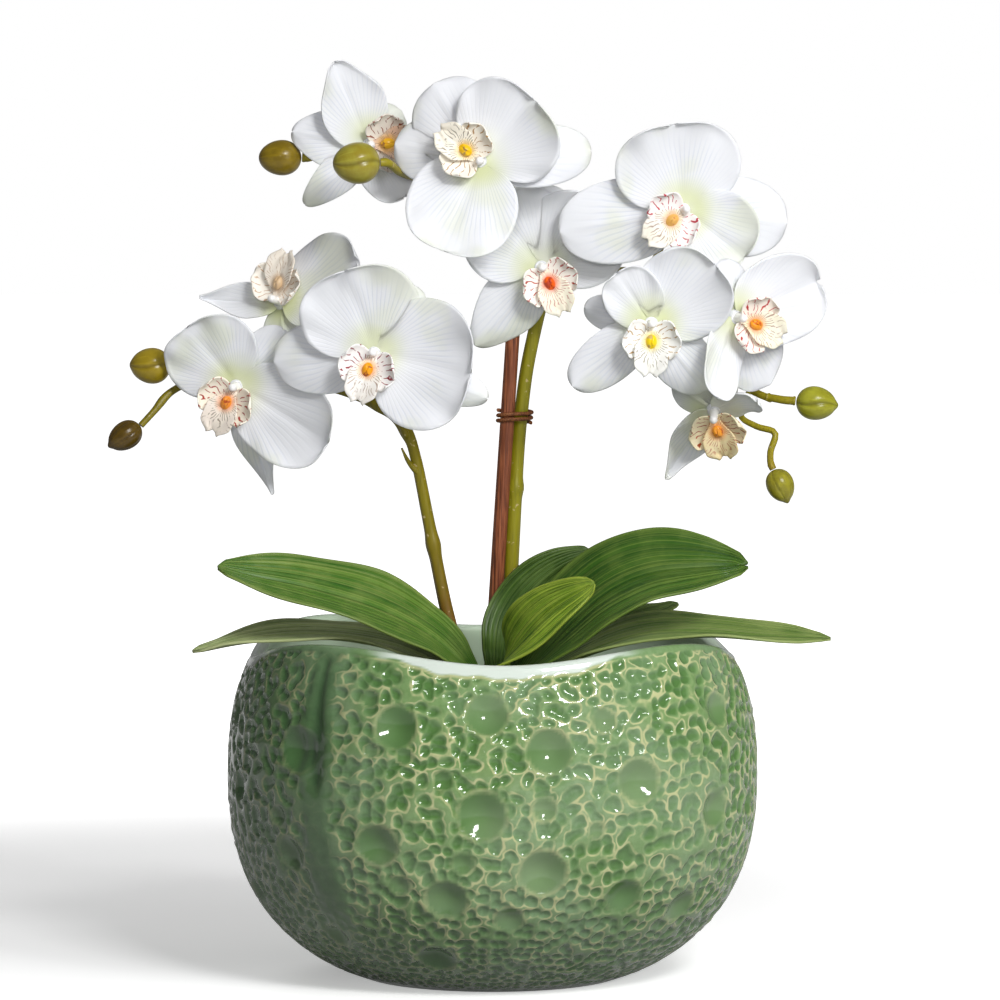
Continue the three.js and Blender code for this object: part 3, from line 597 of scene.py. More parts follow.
def pit_relief_nodes(pit_size, pit_depth):
    """Geometry nodes that sink small pits with a ridge network between them into the wall."""
    tree = bpy.data.node_groups.new("Pitted glaze", "GeometryNodeTree")
    tree.interface.new_socket("Geometry", in_out="INPUT", socket_type="NodeSocketGeometry")
    tree.interface.new_socket("Geometry", in_out="OUTPUT", socket_type="NodeSocketGeometry")
    nodes = tree.nodes
    start = nodes.new("NodeGroupInput")
    end = nodes.new("NodeGroupOutput")

    def named(name, kind):
        node = nodes.new("GeometryNodeInputNamedAttribute")
        node.data_type = kind
        node.inputs["Name"].default_value = name
        return node.outputs["Attribute"]

    place = named("wall_place", "FLOAT_VECTOR")
    flat = named("flat_place", "FLOAT_VECTOR")
    share = named("pitted", "FLOAT")
    warp = nodes.new("ShaderNodeTexNoise")
    warp.inputs["Scale"].default_value = pit_warp_scale
    warp.inputs["Detail"].default_value = 1.0
    tree.links.new(place, warp.inputs["Vector"])
    shift = nodes.new("ShaderNodeVectorMath")
    shift.operation = "MULTIPLY_ADD"
    shift.inputs[1].default_value = (pit_warp,) * 3
    tree.links.new(warp.outputs["Color"], shift.inputs[0])
    tree.links.new(flat, shift.inputs[2])
    cells = nodes.new("ShaderNodeTexVoronoi")
    cells.voronoi_dimensions = "2D"
    cells.feature = "SMOOTH_F1"
    cells.inputs["Scale"].default_value = 1 / pit_size
    cells.inputs["Smoothness"].default_value = pit_smoothness
    cells.inputs["Randomness"].default_value = pit_randomness
    tree.links.new(shift.outputs[0], cells.inputs["Vector"])
    depth = nodes.new("ShaderNodeMapRange")
    depth.interpolation_type = "SMOOTHSTEP"
    depth.inputs[1].default_value = pit_core
    depth.inputs[2].default_value = pit_rim
    depth.inputs[3].default_value = -0.75 * pit_depth
    depth.inputs[4].default_value = 0.25 * pit_depth
    tree.links.new(cells.outputs["Distance"], depth.inputs[0])
    scaled = nodes.new("ShaderNodeMath")
    scaled.operation = "MULTIPLY"
    tree.links.new(depth.outputs[0], scaled.inputs[0])
    tree.links.new(share, scaled.inputs[1])
    normal = nodes.new("GeometryNodeInputNormal")
    offset = nodes.new("ShaderNodeVectorMath")
    offset.operation = "SCALE"
    tree.links.new(normal.outputs[0], offset.inputs[0])
    tree.links.new(scaled.outputs[0], offset.inputs["Scale"])
    move = nodes.new("GeometryNodeSetPosition")
    tree.links.new(start.outputs[0], move.inputs["Geometry"])
    tree.links.new(offset.outputs[0], move.inputs["Offset"])
    tree.links.new(move.outputs["Geometry"], end.inputs[0])
    return tree


washed_green = (0.24, 0.35, 0.20)
hollow_greens = [(0.095, 0.20, 0.055), (0.19, 0.29, 0.135)]
band_green = (0.09, 0.165, 0.065)
groove_green = (0.04, 0.085, 0.03)


def glaze_material(glaze):
    """Green glaze, deep in the pits and cream on the ridges, smooth in the hollows, white on the lip."""
    material, shader = new_material("Pitted green glaze")
    place = read_attribute(material, "wall_place", "Vector")
    flat = read_attribute(material, "flat_place", "Vector")
    pitted, hollow, groove, band, white, inside, cream = [
        read_attribute(material, name)
        for name in ("pitted", "hollow", "groove", "band", "white_lip", "inside", "cream_line")]
    warp = add_noise(material, place, pit_warp_scale, 1.0)
    shift = add_node(material, "ShaderNodeVectorMath", operation="MULTIPLY_ADD", in_1=(pit_warp,) * 3)
    link(material, warp.outputs["Color"], shift.inputs[0])
    link(material, flat, shift.inputs[2])
    cells = add_node(material, "ShaderNodeTexVoronoi", voronoi_dimensions="2D", feature="SMOOTH_F1",
                     in_Scale=1 / glaze.pit_size, in_Smoothness=pit_smoothness,
                     in_Randomness=pit_randomness)
    link(material, shift.outputs[0], cells.inputs["Vector"])
    reach = cells.outputs["Distance"]
    mottle = add_noise(material, place, 95.0, 3.0, 0.6).outputs["Fac"]
    broad = add_noise(material, place, 24.0, 2.0, 0.5).outputs["Fac"]
    fine = add_noise(material, place, 420.0, 3.0, 0.6).outputs["Fac"]

    pool = add_range(material, reach, 0.5, 0.22)
    pool_varied = add_math(material, "MULTIPLY_ADD", mottle, 1.3, -0.65)
    pool = add_math(material, "ADD", pool, pool_varied, clamp=True)
    pool = add_math(material, "MULTIPLY", pool, pitted)
    base = add_mix(material, pool, glaze.wall_colour, glaze.pit_colour)
    wash = add_range(material, broad, 0.42, 0.66, 0.0, 0.6)
    base = add_mix(material, wash, base, washed_green)
    grain = add_range(material, fine, 0.35, 0.7, 0.0, 0.3)
    base = add_mix(material, grain, base, glaze.pit_colour)

    wander = add_math(material, "MULTIPLY_ADD", fine, 0.1, reach)
    ridge = add_math(material, "MULTIPLY", add_range(material, wander, 0.47, 0.56),
                     add_range(material, wander, 0.7, 0.6, 0.1, 1.0))
    broken = add_range(material, mottle, 0.38, 0.6, 0.08, 0.85)
    ridge = add_math(material, "MULTIPLY", ridge, broken)
    ridge = add_math(material, "MULTIPLY", ridge, pitted)
    base = add_mix(material, ridge, base, glaze.ridge_colour)

    smooth_pool = add_mix(material, add_range(material, broad, 0.35, 0.65), *hollow_greens)
    base = add_mix(material, hollow, base, smooth_pool)
    rim_share = add_math(material, "MULTIPLY", hollow, add_math(material, "SUBTRACT", 1.0, hollow))
    rim_share = add_math(material, "MULTIPLY", rim_share, 1.7, clamp=True)
    rim_share = add_math(material, "MULTIPLY", rim_share, broken)
    base = add_mix(material, rim_share, base, glaze.ridge_colour)
    band = add_math(material, "MULTIPLY", band, add_range(material, mottle, 0.3, 0.6, 0.9, 0.6))
    base = add_mix(material, band, base, band_green)
    base = add_mix(material, add_math(material, "MULTIPLY", groove, 0.8), base, groove_green)
    base = add_mix(material, cream, base, glaze.ridge_colour)
    across, _, height = split_place(material, place)
    # Painted shade: the glaze turns dark green towards the foot and towards the bowl's left side
    foot_shade = add_range(material, height, 60 * mm, 4 * mm, 0.0, 0.5)
    left_shade = add_range(material, across, -15 * mm, -100 * mm, 0.0, 0.62)
    painted_shade = add_math(material, "MAXIMUM", foot_shade, left_shade)
    base = add_mix(material, painted_shade, base, glaze.painted_shade_colour)
    base = add_mix(material, inside, base, glaze.inside_colour)
    base = add_mix(material, white, base, glaze.lip_colour)
    link(material, base, shader.inputs["Base Color"])

    bump_height = add_math(material, "MULTIPLY", add_range(material, reach, pit_core, pit_rim), pitted)
    bump_height = add_math(material, "MULTIPLY_ADD", fine, 0.08, bump_height)
    add_bump(material, shader, bump_height, 0.6, 0.5 * mm)
    shader.inputs["Roughness"].default_value = 0.1
    shader.inputs["IOR"].default_value = 1.5
    shader.inputs["Coat Weight"].default_value = 0.3
    shader.inputs["Coat Roughness"].default_value = 0.03
    return material


bowl_segments = 468

# The heights between which the relief fades out above the foot
foot_fade = (0.5 * mm, 5 * mm)

# The white lip's depth at a corner and between two corners, and the waves of its lower edge:
# height, count round the bowl and start
white_depth = (0.8 * mm, 4.5 * mm)
white_waves = [(0.5 * mm, 23, 0), (0.3 * mm, 57, 1)]


def wall_climb(profile):
    """The way up the profile, stretched where the bowl narrows, so that the pits keep their shape."""
    steps = np.linalg.norm(np.diff(profile[:, :2], axis=0), axis=1)
    middles = np.maximum(foot_radius, (profile[1:, 0] + profile[:-1, 0]) / 2)
    return np.concatenate([[0], np.cumsum(steps * belly_radius / middles)])


def bowl_skin():
    """The bowl's smooth skin, closed, with what its glaze needs kept for each point."""
    profile = bowl_profile()
    piece = new_grid("glazed_bowl", bowl_segments, len(profile) - 1)
    around, rise = grid_shares(piece)
    row = np.rint(rise * (len(profile) - 1)).astype(int)
    angle = 2 * np.pi * around
    radius, height, kind = profile[row].T
    write_points(piece, shape_corners(radius, height, angle))
    write_attribute(piece, "kind", kind)
    write_attribute(piece, "turn", angle)
    write_attribute(piece, "level", height)
    write_attribute(piece, "climb", wall_climb(profile)[row])
    close_seams(piece)
    return piece


def flat_wall(angle, climb):
    """The wall laid flat for its pits, cut open along the corner band at the back."""
    around = (angle - math.radians(corner_creases[1])) % (2 * np.pi) * belly_radius
    return np.stack([around, climb, np.zeros(len(angle))], axis=1)


def shape_wall(piece, points, on_wall, level, depth_share):
    """Works hollows, bands and grooves into the wall and returns the shares of all three."""
    normals = read_normals(piece)
    below_rim = rim_height - level
    crease, groove = crease_shares(points, on_wall)
    shaped, hollow = press_hollows(points, normals, on_wall * smooth_step(level, *foot_fade), depth_share)
    groove = groove * smooth_step(below_rim, 2 * mm, 6 * mm)
    shaped -= normals * (groove * groove_depth)[:, None]
    swell = band_swell * crease * (1 - groove) * smooth_step(below_rim, 2 * mm, 10 * mm)
    shaped += normals * swell[:, None]
    write_points(piece, shaped)
    return hollow * on_wall, crease, groove


def lip_shares(points, kind, angle, level):
    """Shares of the white lip, the inside, the cream line under the lip and the wall below it."""
    corner = np.cos(4 * (angle - lobe_turn))
    between = 0.5 - 0.5 * corner
    below_rim = rim_height - level
    edge = mix_numbers(*white_depth, smooth_step(between, 0.12, 0.95))
    edge = edge + sum(height * np.sin(angle * count + start) for height, count, start in white_waves)
    white = smooth_step(below_rim, edge + 0.5 * mm, edge - 0.3 * mm)
    white = white * smooth_step(between, 0.15, 0.45) * np.isin(kind, (1, 2))
    middle = (rim_radius - bowl_wall / 2) * (1 + lobe_swell * corner)
    inwards = middle - np.linalg.norm(points[:, :2], axis=1)
    inner_side = np.where(kind == 2, smooth_step(inwards, -0.5 * mm, 0.6 * mm), 0)
    inside = np.maximum(np.where(kind == 3, 1.0, 0.0), inner_side)
    cream = 0.85 * np.exp(-((below_rim - edge - 0.7 * mm) / (0.55 * mm)) ** 2)
    return white * (1 - 0.75 * inner_side), inside, cream, smooth_step(below_rim, edge, edge + 2.2 * mm)


class OBJECT_OT_glazed_bowl(bpy.types.Operator):
    """Builds the glazed bowl with its hollows, pits and white lip"""

    bl_idname = "object.planter_bowl"
    bl_label = "Glazed Bowl"

    def execute(self, context):
        glaze = context.scene.planter_glaze
        piece = bowl_skin()
        kind, angle, level, climb = [
            take_values(piece, name) for name in ("kind", "turn", "level", "climb")]
        points = read_points(piece)
        on_wall = np.where(kind == 1, 1.0, 0.0)
        write_attribute(piece, "wall_place", points, "FLOAT_VECTOR")
        write_attribute(piece, "flat_place", flat_wall(angle, climb), "FLOAT_VECTOR")
        hollow, crease, groove = shape_wall(piece, points, on_wall, level, glaze.hollow_depth)
        white, inside, cream, below_lip = lip_shares(points, kind, angle, level)
        pitted = on_wall * below_lip * smooth_step(level, *foot_fade) * (1 - hollow) * (1 - 0.85 * crease)
        write_attribute(piece, "pitted", pitted)
        write_attribute(piece, "hollow", hollow)
        write_attribute(piece, "groove", groove)
        write_attribute(piece, "band", crease * smooth_step(rim_height - level, 0, 6 * mm))
        write_attribute(piece, "white_lip", white)
        write_attribute(piece, "inside", inside)
        write_attribute(piece, "cream_line", cream * on_wall)

        relief = piece.modifiers.new("Pits", "NODES")
        relief.node_group = pit_relief_nodes(glaze.pit_size, glaze.pit_depth)
        apply_modifiers(piece)
        smooth_shade(piece)
        set_material(piece, glaze_material(glaze))
        set_in_place(piece, "planter", "green_glaze", "pot")
        return {"FINISHED"}


# Planting


def in_planting(places):
    """Millimetres, with heights from the top of the moss, as metres in the frame."""
    return np.array(places, float) * mm + (0, 0, planting_top)


def write_uv(piece, across, along):
    """Lays the piece's UV map from one pair of numbers for each point."""
    layer = piece.data.uv_layers.active or piece.data.uv_layers.new(name="UVMap")
    corner_points = np.empty(len(piece.data.loops), np.int32)
    piece.data.loops.foreach_get("vertex_index", corner_points)
    pairs = np.stack([across, along], axis=1)[corner_points]
    layer.data.foreach_set("uv", pairs.astype(np.float32).ravel())


# Liner, foam, crown and moss

moss_edge_radius = 66 * mm
moss_edge_height = -12 * mm
moss_rise = 12.6 * mm
strand_count = 900
strand_sides = 3
strand_rings = 5


def speckled_material(name, dark, light, grain, roughness, relief):
    """A matt cast material whose colour and surface vary from grain to grain."""
    material, shader = new_material(name)
    place = object_place(material)
    grains = add_noise(material, place, grain, 5.0, 0.65).outputs["Fac"]
    patches = add_noise(material, place, grain / 9, 2.0).outputs["Fac"]
    tone = add_mix(material, add_range(material, grains, 0.35, 0.68), dark, light)
    tone = add_mix(material, add_range(material, patches, 0.5, 0.75, 0, 0.7), tone, toned(dark, 0.7))
    link(material, tone, shader.inputs["Base Color"])
    shader.inputs["Roughness"].default_value = roughness
    add_bump(material, shader, grains, 0.6, relief)
    return material


def moss_mound():
    """A low mound of moss with a lumpy top, closed underneath."""
    rows = 44
    mound = new_grid("moss_mound", 96, rows)
    around, rise = grid_shares(mound)
    row = np.rint(rise * rows)
    reach = np.clip(1 - (row - 2) / (rows - 2), 0, 1)
    reach = np.where(row == 0, 0, reach)
    turn = 2 * np.pi * around
    height = moss_edge_height + moss_rise * np.sqrt(np.clip(1 - reach ** 2, 0, 1))
    height = np.where(row <= 1, moss_edge_height - 4 * mm, height)
    radius = moss_edge_radius * reach
    lumps = np.sin(9 * turn + 31 * reach) + np.sin(17 * turn - 23 * reach) + np.sin(5 * turn + 57 * reach)
    height = height + 0.45 * mm * lumps * (row > 2) * smooth_step(reach, 0, 0.1) * smooth_step(reach, 1, 0.9)
    places = np.stack([radius * np.cos(turn), radius * np.sin(turn), planting_top + height], axis=1)
    write_points(mound, places)
    close_seams(mound)
    clumps = bpy.data.textures.new("Moss clumps", "CLOUDS")
    clumps.noise_scale = 0.006
    clumps.noise_depth = 3
    displace = mound.modifiers.new("Clumps", "DISPLACE")
    displace.texture = clumps
    displace.strength = 1.6 * mm
    displace.mid_level = 0.5
    apply_modifiers(mound)
    smooth_shade(mound)
    return mound


# Strands: the share of the mound that they stand on, their length in millimetres and the
# radius of their foot
strand_spread = 0.95
strand_length = (3, 6)
strand_radius = 0.34 * mm


def moss_strands():
    """Short bent strands that stand out of the mound, each a thin closed stalk."""
    draw = random.Random(7)
    points = []
    faces = []
    for _ in range(strand_count):
        reach = moss_edge_radius * math.sqrt(draw.random()) * strand_spread
        turn = draw.uniform(0, 2 * math.pi)
        share = reach / moss_edge_radius
        root = Vector((reach * math.cos(turn), reach * math.sin(turn),
                       planting_top + moss_edge_height + moss_rise * math.sqrt(1 - share ** 2) - 1 * mm))
        lean = Vector((draw.uniform(-1, 1), draw.uniform(-1, 1), draw.uniform(0.4, 1.2))).normalized()
        droop = Vector((draw.uniform(-1, 1), draw.uniform(-1, 1), -0.8)) * 1.6 * mm
        length = draw.uniform(*strand_length) * mm
        first = len(points)
        for ring in range(strand_rings):
            t = ring / (strand_rings - 1)
            centre = root + lean * length * t + droop * t * t
            width = strand_radius * (1 - 0.8 * t)
            for k in range(strand_sides):
                angle = 2 * math.pi * k / strand_sides
                points.append(centre + Vector((math.cos(angle), math.sin(angle), 0)) * width)
        for ring in range(strand_rings - 1):
            for k in range(strand_sides):
                a = first + ring * strand_sides + k
                b = first + ring * strand_sides + (k + 1) % strand_sides
                faces.append((a, b, b + strand_sides, a + strand_sides))
        last = first + (strand_rings - 1) * strand_sides
        faces.append(tuple(first + k for k in reversed(range(strand_sides))))
        faces.append(tuple(last + k for k in range(strand_sides)))
    mesh = bpy.data.meshes.new("moss_strands")
    mesh.from_pydata(points, [], faces)
    strands = bpy.data.objects.new("moss_strands", mesh)
    bpy.context.scene.collection.objects.link(strands)
    smooth_shade(strands, 60)
    return strands


class OBJECT_OT_planter_fill(bpy.types.Operator):
    """Finishes the liner pot, the foam and the leaf crown, and lays the moss"""

    bl_idname = "object.planter_fill"
    bl_label = "Liner and Moss"

    def execute(self, context):
        finishes = {
            "liner_pot": speckled_material(
                "Liner plastic", paint(38, 41, 36), paint(50, 54, 47), 900, 0.5, 0.05 * mm),
            "potting_foam": speckled_material(
                "Florist foam", paint(62, 84, 50), paint(96, 120, 74), 1500, 0.95, 0.3 * mm),
            "leaf_crown": speckled_material(
                "Leaf crown", paint(66, 80, 30), paint(112, 122, 52), 300, 0.5, 0.15 * mm),
        }
        for name, material in finishes.items():
            set_material(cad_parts[name], material)
        moss = join_pieces([moss_mound(), moss_strands()], "moss_layer")
        set_material(moss, speckled_material(
            "Moss", paint(52, 62, 24), paint(124, 132, 58), 420, 1.0, 0.8 * mm))
        set_in_place(moss, "planting", "moss", "moss_top")
        return {"FINISHED"}


# Leaves: a spine, a width, a tilt of the blade about its spine and a fold along it,
# then the light, middle and deep green of its upper side. The blade rolls into its tilt
# between the two shares of its length given as roll.

leaves = {
    "leaf_left_upper": {
        "spine": [(-2, -12, 8), (-11, -15, 19), (-24.5, -18, 31), (-44, -25, 42), (-71, -33, 51),
                  (-95, -39, 56.5), (-107, -42, 59.5)],
        "width": 40, "tilt": -34, "fold": 10,
        "greens": [paint(144, 158, 84), paint(80, 118, 34), paint(38, 88, 16)],
    },
    "leaf_left_lower": {
        "spine": [(-3, -10, 3), (-16, -11, 15), (-36, -12, 25), (-56, -14, 29.5), (-76, -18, 31),
                  (-96, -22, 29.5), (-118, -25, 25)],
        "width": 32, "tilt": -10, "fold": 10,
        # Painted light: these greens are lightened to make up for the shade this leaf lies in under the leaf
        # above it
        "greens": [paint(208, 214, 160), paint(160, 178, 112), paint(100, 120, 66)],
    },
    "leaf_right_upper": {
        "spine": [(6, -12, 7), (18, -18, 21), (32, -23, 37), (46.5, -27, 49.5), (62, -29, 56.5),
                  (82, -30.5, 59), (100.5, -31, 59.5)],
        "width": 48, "tilt": 40, "fold": 12, "notch": 0.035,
        "greens": [paint(118, 140, 60), paint(60, 100, 24), paint(26, 66, 10)],
    },
    "leaf_right_back": {
        "spine": [(4, -3, 8), (6.5, -1, 22), (10, 0, 35), (17, 0, 46), (27, 0, 55.3), (40, 1, 62.5)],
        "width": 26, "tilt": 80, "fold": 10,
        "greens": [paint(100, 124, 56), paint(64, 92, 34), paint(34, 58, 16)],
    },
    "leaf_front": {
        "spine": [(-2.5, -18, 4), (-0.8, -30, 10.5), (4.5, -38, 21), (12, -43, 32.5), (22.5, -47, 43.8),
                  (40, -50, 54.2)],
        "width": 25, "tilt": 75, "roll": (0, 0.8), "fold": 14,
        "greens": [paint(166, 182, 66), paint(112, 142, 34), paint(44, 78, 12)],
    },
    "leaf_right_lower": {
        "spine": [(7, -9, 1.8), (22, -12, 15), (42, -16, 25.5), (62, -18, 31.5), (84, -21, 32.5),
                  (108, -24, 31), (133.5, -25, 30)],
        "width": 35, "tilt": 12, "fold": 10,
        "greens": [paint(166, 178, 112), paint(118, 142, 66), paint(66, 100, 32)],
    },
    "leaf_back_right": {
        "spine": [(5.4, -1.2, 7.4), (17.5, 8.6, 18.6), (38, 14, 27.5), (57, 20, 33.5), (75, 26, 40)],
        "width": 22, "tilt": 22, "fold": 12,
        "greens": [paint(110, 128, 62), paint(72, 96, 38), paint(40, 58, 20)],
    },
    "leaf_back_left": {
        "spine": [(-5, -7, 9.5), (-16, -5, 22), (-26, 0, 31), (-31.5, 7, 38), (-34.5, 13, 43)],
        "width": 14, "tilt": -25, "fold": 12,
        "greens": [paint(104, 120, 58), paint(66, 88, 34), paint(38, 54, 18)],
    },
}
# Outline: how far it has opened at the foot, and a power that fills it out where it is under 1
leaf_base = 0.13
leaf_fullness = 0.62
leaf_columns = 72
leaf_rows = 110

# Relief: the number of ribs, the groove's depth and its width as a share of half the leaf, and
# the height and number of the waves along an edge
leaf_ribs = 7
leaf_groove_depth = 0.7 * mm
leaf_groove_width = 0.06
leaf_wave_height = 0.9 * mm
leaf_waves = 2.4


def leaf_sheet(name, shape, rib_depth, phase):
    """The middle surface of one leaf, with a groove along it and ribs beside the groove."""
    piece = new_grid(name, leaf_columns, leaf_rows)
    across, along = grid_shares(piece)
    s = 2 * across - 1
    row = np.rint(along * leaf_rows).astype(int)
    centres = route_points(in_planting(shape["spine"]), leaf_rows + 1)
    tangent = unit(np.gradient(centres, axis=0))
    side = unit(np.cross(tangent, [0.0, 0.0, 1.0]))
    share = np.linspace(0, 1, leaf_rows + 1)
    turn = (math.radians(shape["tilt"]) * smooth_step(share, *shape.get("roll", (-0.4, 0.4))))[:, None]
    side = side * np.cos(turn) + np.cross(tangent, side) * np.sin(turn)
    normal = np.cross(side, tangent)
    fullness = np.sin(np.pi * mix_numbers(leaf_base, 0.985, share)) ** leaf_fullness
    half_width = shape["width"] / 2 * mm * fullness * smooth_step(share, -0.5, 0.35)
    half_width = half_width * np.clip((1.004 - share) / 0.03, 0, 1) ** 0.5
    wide = half_width[row]
    rise = wide * math.tan(math.radians(shape["fold"])) * (0.65 * s ** 2 + 0.35 * np.abs(s))
    groove = -leaf_groove_depth * np.exp(-(s / leaf_groove_width) ** 2) * smooth_step(along, 1, 0.85)
    ribs = rib_depth * np.cos(2 * np.pi * leaf_ribs * np.abs(s)) * smooth_step(np.abs(s), 0.04, 0.15)
    ribs = ribs * smooth_step(wide, 1.5 * mm, 5 * mm)
    sway = 2 * np.pi * leaf_waves * along + phase + 1.3 * np.sign(s)
    wave = leaf_wave_height * s ** 4 * np.sin(sway)
    wave = wave * smooth_step(along, 0.1, 0.3) * smooth_step(along, 1, 0.9)
    points = centres[row] + side[row] * (s * wide)[:, None]
    points = points + normal[row] * (rise + groove + ribs + wave)[:, None]
    notch = shape.get("notch", 0) * np.linalg.norm(centres[-1] - centres[0])
    pull = notch * np.exp(-(s / 0.35) ** 2) * smooth_step(along, 0.93, 1)
    points = points - tangent[row] * pull[:, None]
    write_points(piece, points)
    write_uv(piece, across, along)
    return piece


def leaf_material(name, greens):
    """Leaf green with parallel veins, a darker groove and a darker foot, on the leaf's UV map."""
    light, middle, deep = greens
    material, shader = new_material(name)
    veins = surface_place(material, 84, 0.9)
    broad_veins = surface_place(material, 10, 0.6)
    vein = add_noise(material, veins, 1.0, 3.0, 0.6).outputs["Fac"]
    stripe = add_noise(material, broad_veins, 1.0, 2.0, 0.5).outputs["Fac"]
    mottle = add_noise(material, object_place(material), 90, 4.0, 0.6).outputs["Fac"]
    uv = split_place(material, surface_place(material, 1, 1))
    from_middle = add_math(material, "ABSOLUTE", add_math(material, "SUBTRACT", uv[0], 0.5))
    tone = add_mix(material, add_range(material, stripe, 0.3, 0.68), deep, middle)
    tone = add_mix(material, add_range(material, vein, 0.46, 0.68, 0, 0.6), tone, light)
    tone = add_mix(material, add_range(material, vein, 0.5, 0.3, 0, 0.45), tone, deep)
    edge = add_range(material, from_middle, 0.44, 0.5, 0, 0.5)
    tone = add_mix(material, edge, tone, light)
    groove = add_range(material, from_middle, 0.035, 0.0, 0, 0.6)
    tone = add_mix(material, groove, tone, deep)
    foot = add_range(material, uv[1], 0.3, 0.02, 0, 0.75)
    tone = add_mix(material, foot, tone, toned(deep, 0.55))
    tone = add_mix(material, add_range(material, mottle, 0.4, 0.7, 0, 0.25), tone, light)
    link(material, tone, shader.inputs["Base Color"])
    sheen = add_range(material, mottle, 0.3, 0.7, 0.34, 0.5)
    link(material, sheen, shader.inputs["Roughness"])
    add_bump(material, shader, vein, 0.35, 0.25 * mm)
    return material


class OBJECT_OT_planter_leaves(bpy.types.Operator):
    """Grows the strap leaves with their ribs and veins"""

    bl_idname = "object.planter_leaves"
    bl_label = "Leaves"

    def execute(self, context):
        settings = context.scene.planter_leaves
        for phase, (name, shape) in enumerate(leaves.items()):
            piece = leaf_sheet(name + "_blade", shape, settings.rib_depth, phase * 1.7)
            thicken(piece, settings.thickness)
            smooth_shade(piece)
            set_material(piece, leaf_material(name.replace("_", " ").capitalize(), shape["greens"]))
            set_in_place(piece, "planting", "leaf_plastic", name)
        return {"FINISHED"}


# Blooms. Directions are clock angles in degrees, from the top, as the bloom is seen from its front.
# A blade is (clock angle, length, width), and how pointed its tip is where it isn't round.
# yaw turns a bloom to its right, nod turns it down.
# lobe, dash, tongue, line and callus are the colours of its lip.

blooms = {
    "left_front": {
        "hub": (-45.8, -35, 143), "yaw": -8, "nod": 0, "lip": 197,
        "petals": [(-18, 34, 48), (101, 40, 52)],
        "sepals": [(-95, 41, 29), (112, 47, 22, 0.3), (30, 30, 22)],
        "lobe": paint(252, 250, 248), "dash": paint(140, 24, 44), "tongue": paint(250, 244, 236),
        "line": paint(150, 112, 80), "callus": paint(246, 164, 18),
    },
    "left_outer": {
        "hub": (-100.8, -12, 129.4), "yaw": -14, "nod": 8, "lip": 207,
        "petals": [(-35, 30, 39), (119, 44, 38)],
        "sepals": [(166, 46, 17, 0.8), (40, 28, 18), (-105, 18, 14)],
        "lobe": paint(252, 244, 228), "dash": paint(166, 48, 30), "tongue": paint(246, 234, 222),
        "line": paint(110, 84, 44), "callus": paint(242, 150, 50),
    },
    "left_back": {
        "hub": (-84.6, 22, 161.5), "yaw": -30, "nod": -18, "lip": 10,
        "petals": [(68, 41, 36), (-92, 33, 15, 0.8)],
        "sepals": [(169, 28, 20), (100, 30, 22), (-75, 14, 12)],
        "lobe": paint(248, 242, 232), "dash": paint(206, 176, 146), "tongue": paint(246, 236, 222),
        "line": paint(178, 142, 104), "callus": paint(218, 186, 146),
    },
    "top_left": {
        "hub": (-49, 6, 224.5), "yaw": 14, "nod": 0, "lip": 85,
        "petals": [(-25, 36, 28, 0.5), (150, 24, 22)],
        "sepals": [(-80, 30, 24, 0.3), (226, 34, 16, 0.3), (48, 20, 18)],
        "lobe": paint(236, 228, 216), "dash": paint(146, 84, 60), "tongue": paint(228, 188, 160),
        "line": paint(112, 48, 30), "callus": paint(240, 184, 40),
    },
    "top_centre": {
        "hub": (-4.6, -28, 218.1), "yaw": -6, "nod": -4, "lip": -53,
        "petals": [(44, 32, 46), (200, 38, 44)], "sepals": [(-32, 36, 35), (-78, 35, 27), (84, 43, 25)],
        "lobe": paint(250, 244, 232), "dash": paint(176, 138, 88), "tongue": paint(250, 242, 226),
        "line": paint(86, 66, 30), "callus": paint(246, 196, 14),
    },
    "centre": {
        "hub": (19.5, 1.2, 176.1), "yaw": 6, "nod": 6, "lip": 154,
        "petals": [(-38, 34, 44), (48, 34, 42)],
        "sepals": [(6, 32, 26), (218, 41, 26, 0.35), (84, 30, 18)],
        "lobe": paint(252, 248, 240), "dash": paint(176, 52, 34), "tongue": paint(250, 242, 222),
        "line": paint(176, 70, 44), "callus": paint(236, 96, 16),
    },
    "right_top": {
        "hub": (75.4, -15, 198.8), "yaw": 4, "nod": 0, "lip": 232,
        "petals": [(-8, 34, 50), (128, 30, 36)], "sepals": [(260, 49, 33.5), (97, 42, 32), (40, 26, 22)],
        "lobe": paint(252, 248, 246), "dash": paint(186, 20, 52), "tongue": paint(250, 244, 230),
        "line": paint(150, 104, 64), "callus": paint(228, 176, 92),
    },
    "centre_right": {
        "hub": (62, -44, 155.1), "yaw": 2, "nod": 6, "lip": 182,
        "petals": [(-34, 25, 23), (46, 34, 38)], "sepals": [(230, 39.5, 21), (140, 35, 23), (-78, 26, 15)],
        "lobe": paint(252, 252, 248), "dash": paint(184, 152, 106), "tongue": paint(252, 250, 242),
        "line": paint(112, 92, 42), "callus": paint(246, 214, 16),
    },
    "right": {
        "hub": (94.9, -40, 157.3), "yaw": 30, "nod": 4, "lip": 112,
        "petals": [(68, 37, 36), (204, 33, 20)], "sepals": [(143, 34, 28), (0, 22, 16), (-62, 19, 18)],
        "lobe": paint(252, 244, 234), "dash": paint(184, 40, 40), "tongue": paint(250, 244, 220),
        "line": paint(146, 96, 60), "callus": paint(246, 156, 24),
    },
    "right_lower": {
        "hub": (88, -10, 120), "yaw": -4, "nod": 38, "lip": 168,
        "petals": [(214, 34, 18, 0.7), (52, 22, 16)], "sepals": [(-60, 18, 16), (16, 16, 14), (150, 12, 12)],
        "lobe": paint(250, 238, 204), "dash": paint(176, 84, 44), "tongue": paint(248, 226, 176),
        "line": paint(186, 76, 32), "callus": paint(242, 158, 48),
    },
}

# The gap between two pieces, the round heart of a layer, where a blade starts in it and how much
# farther out each next blade of a layer lies, all in millimetres
clearance = 0.3
hub_depth = 1.5
hub_radius = 3.2
blade_start = 0.7
blade_step = 0.13
lip_floor = 1.5 * clearance + hub_depth

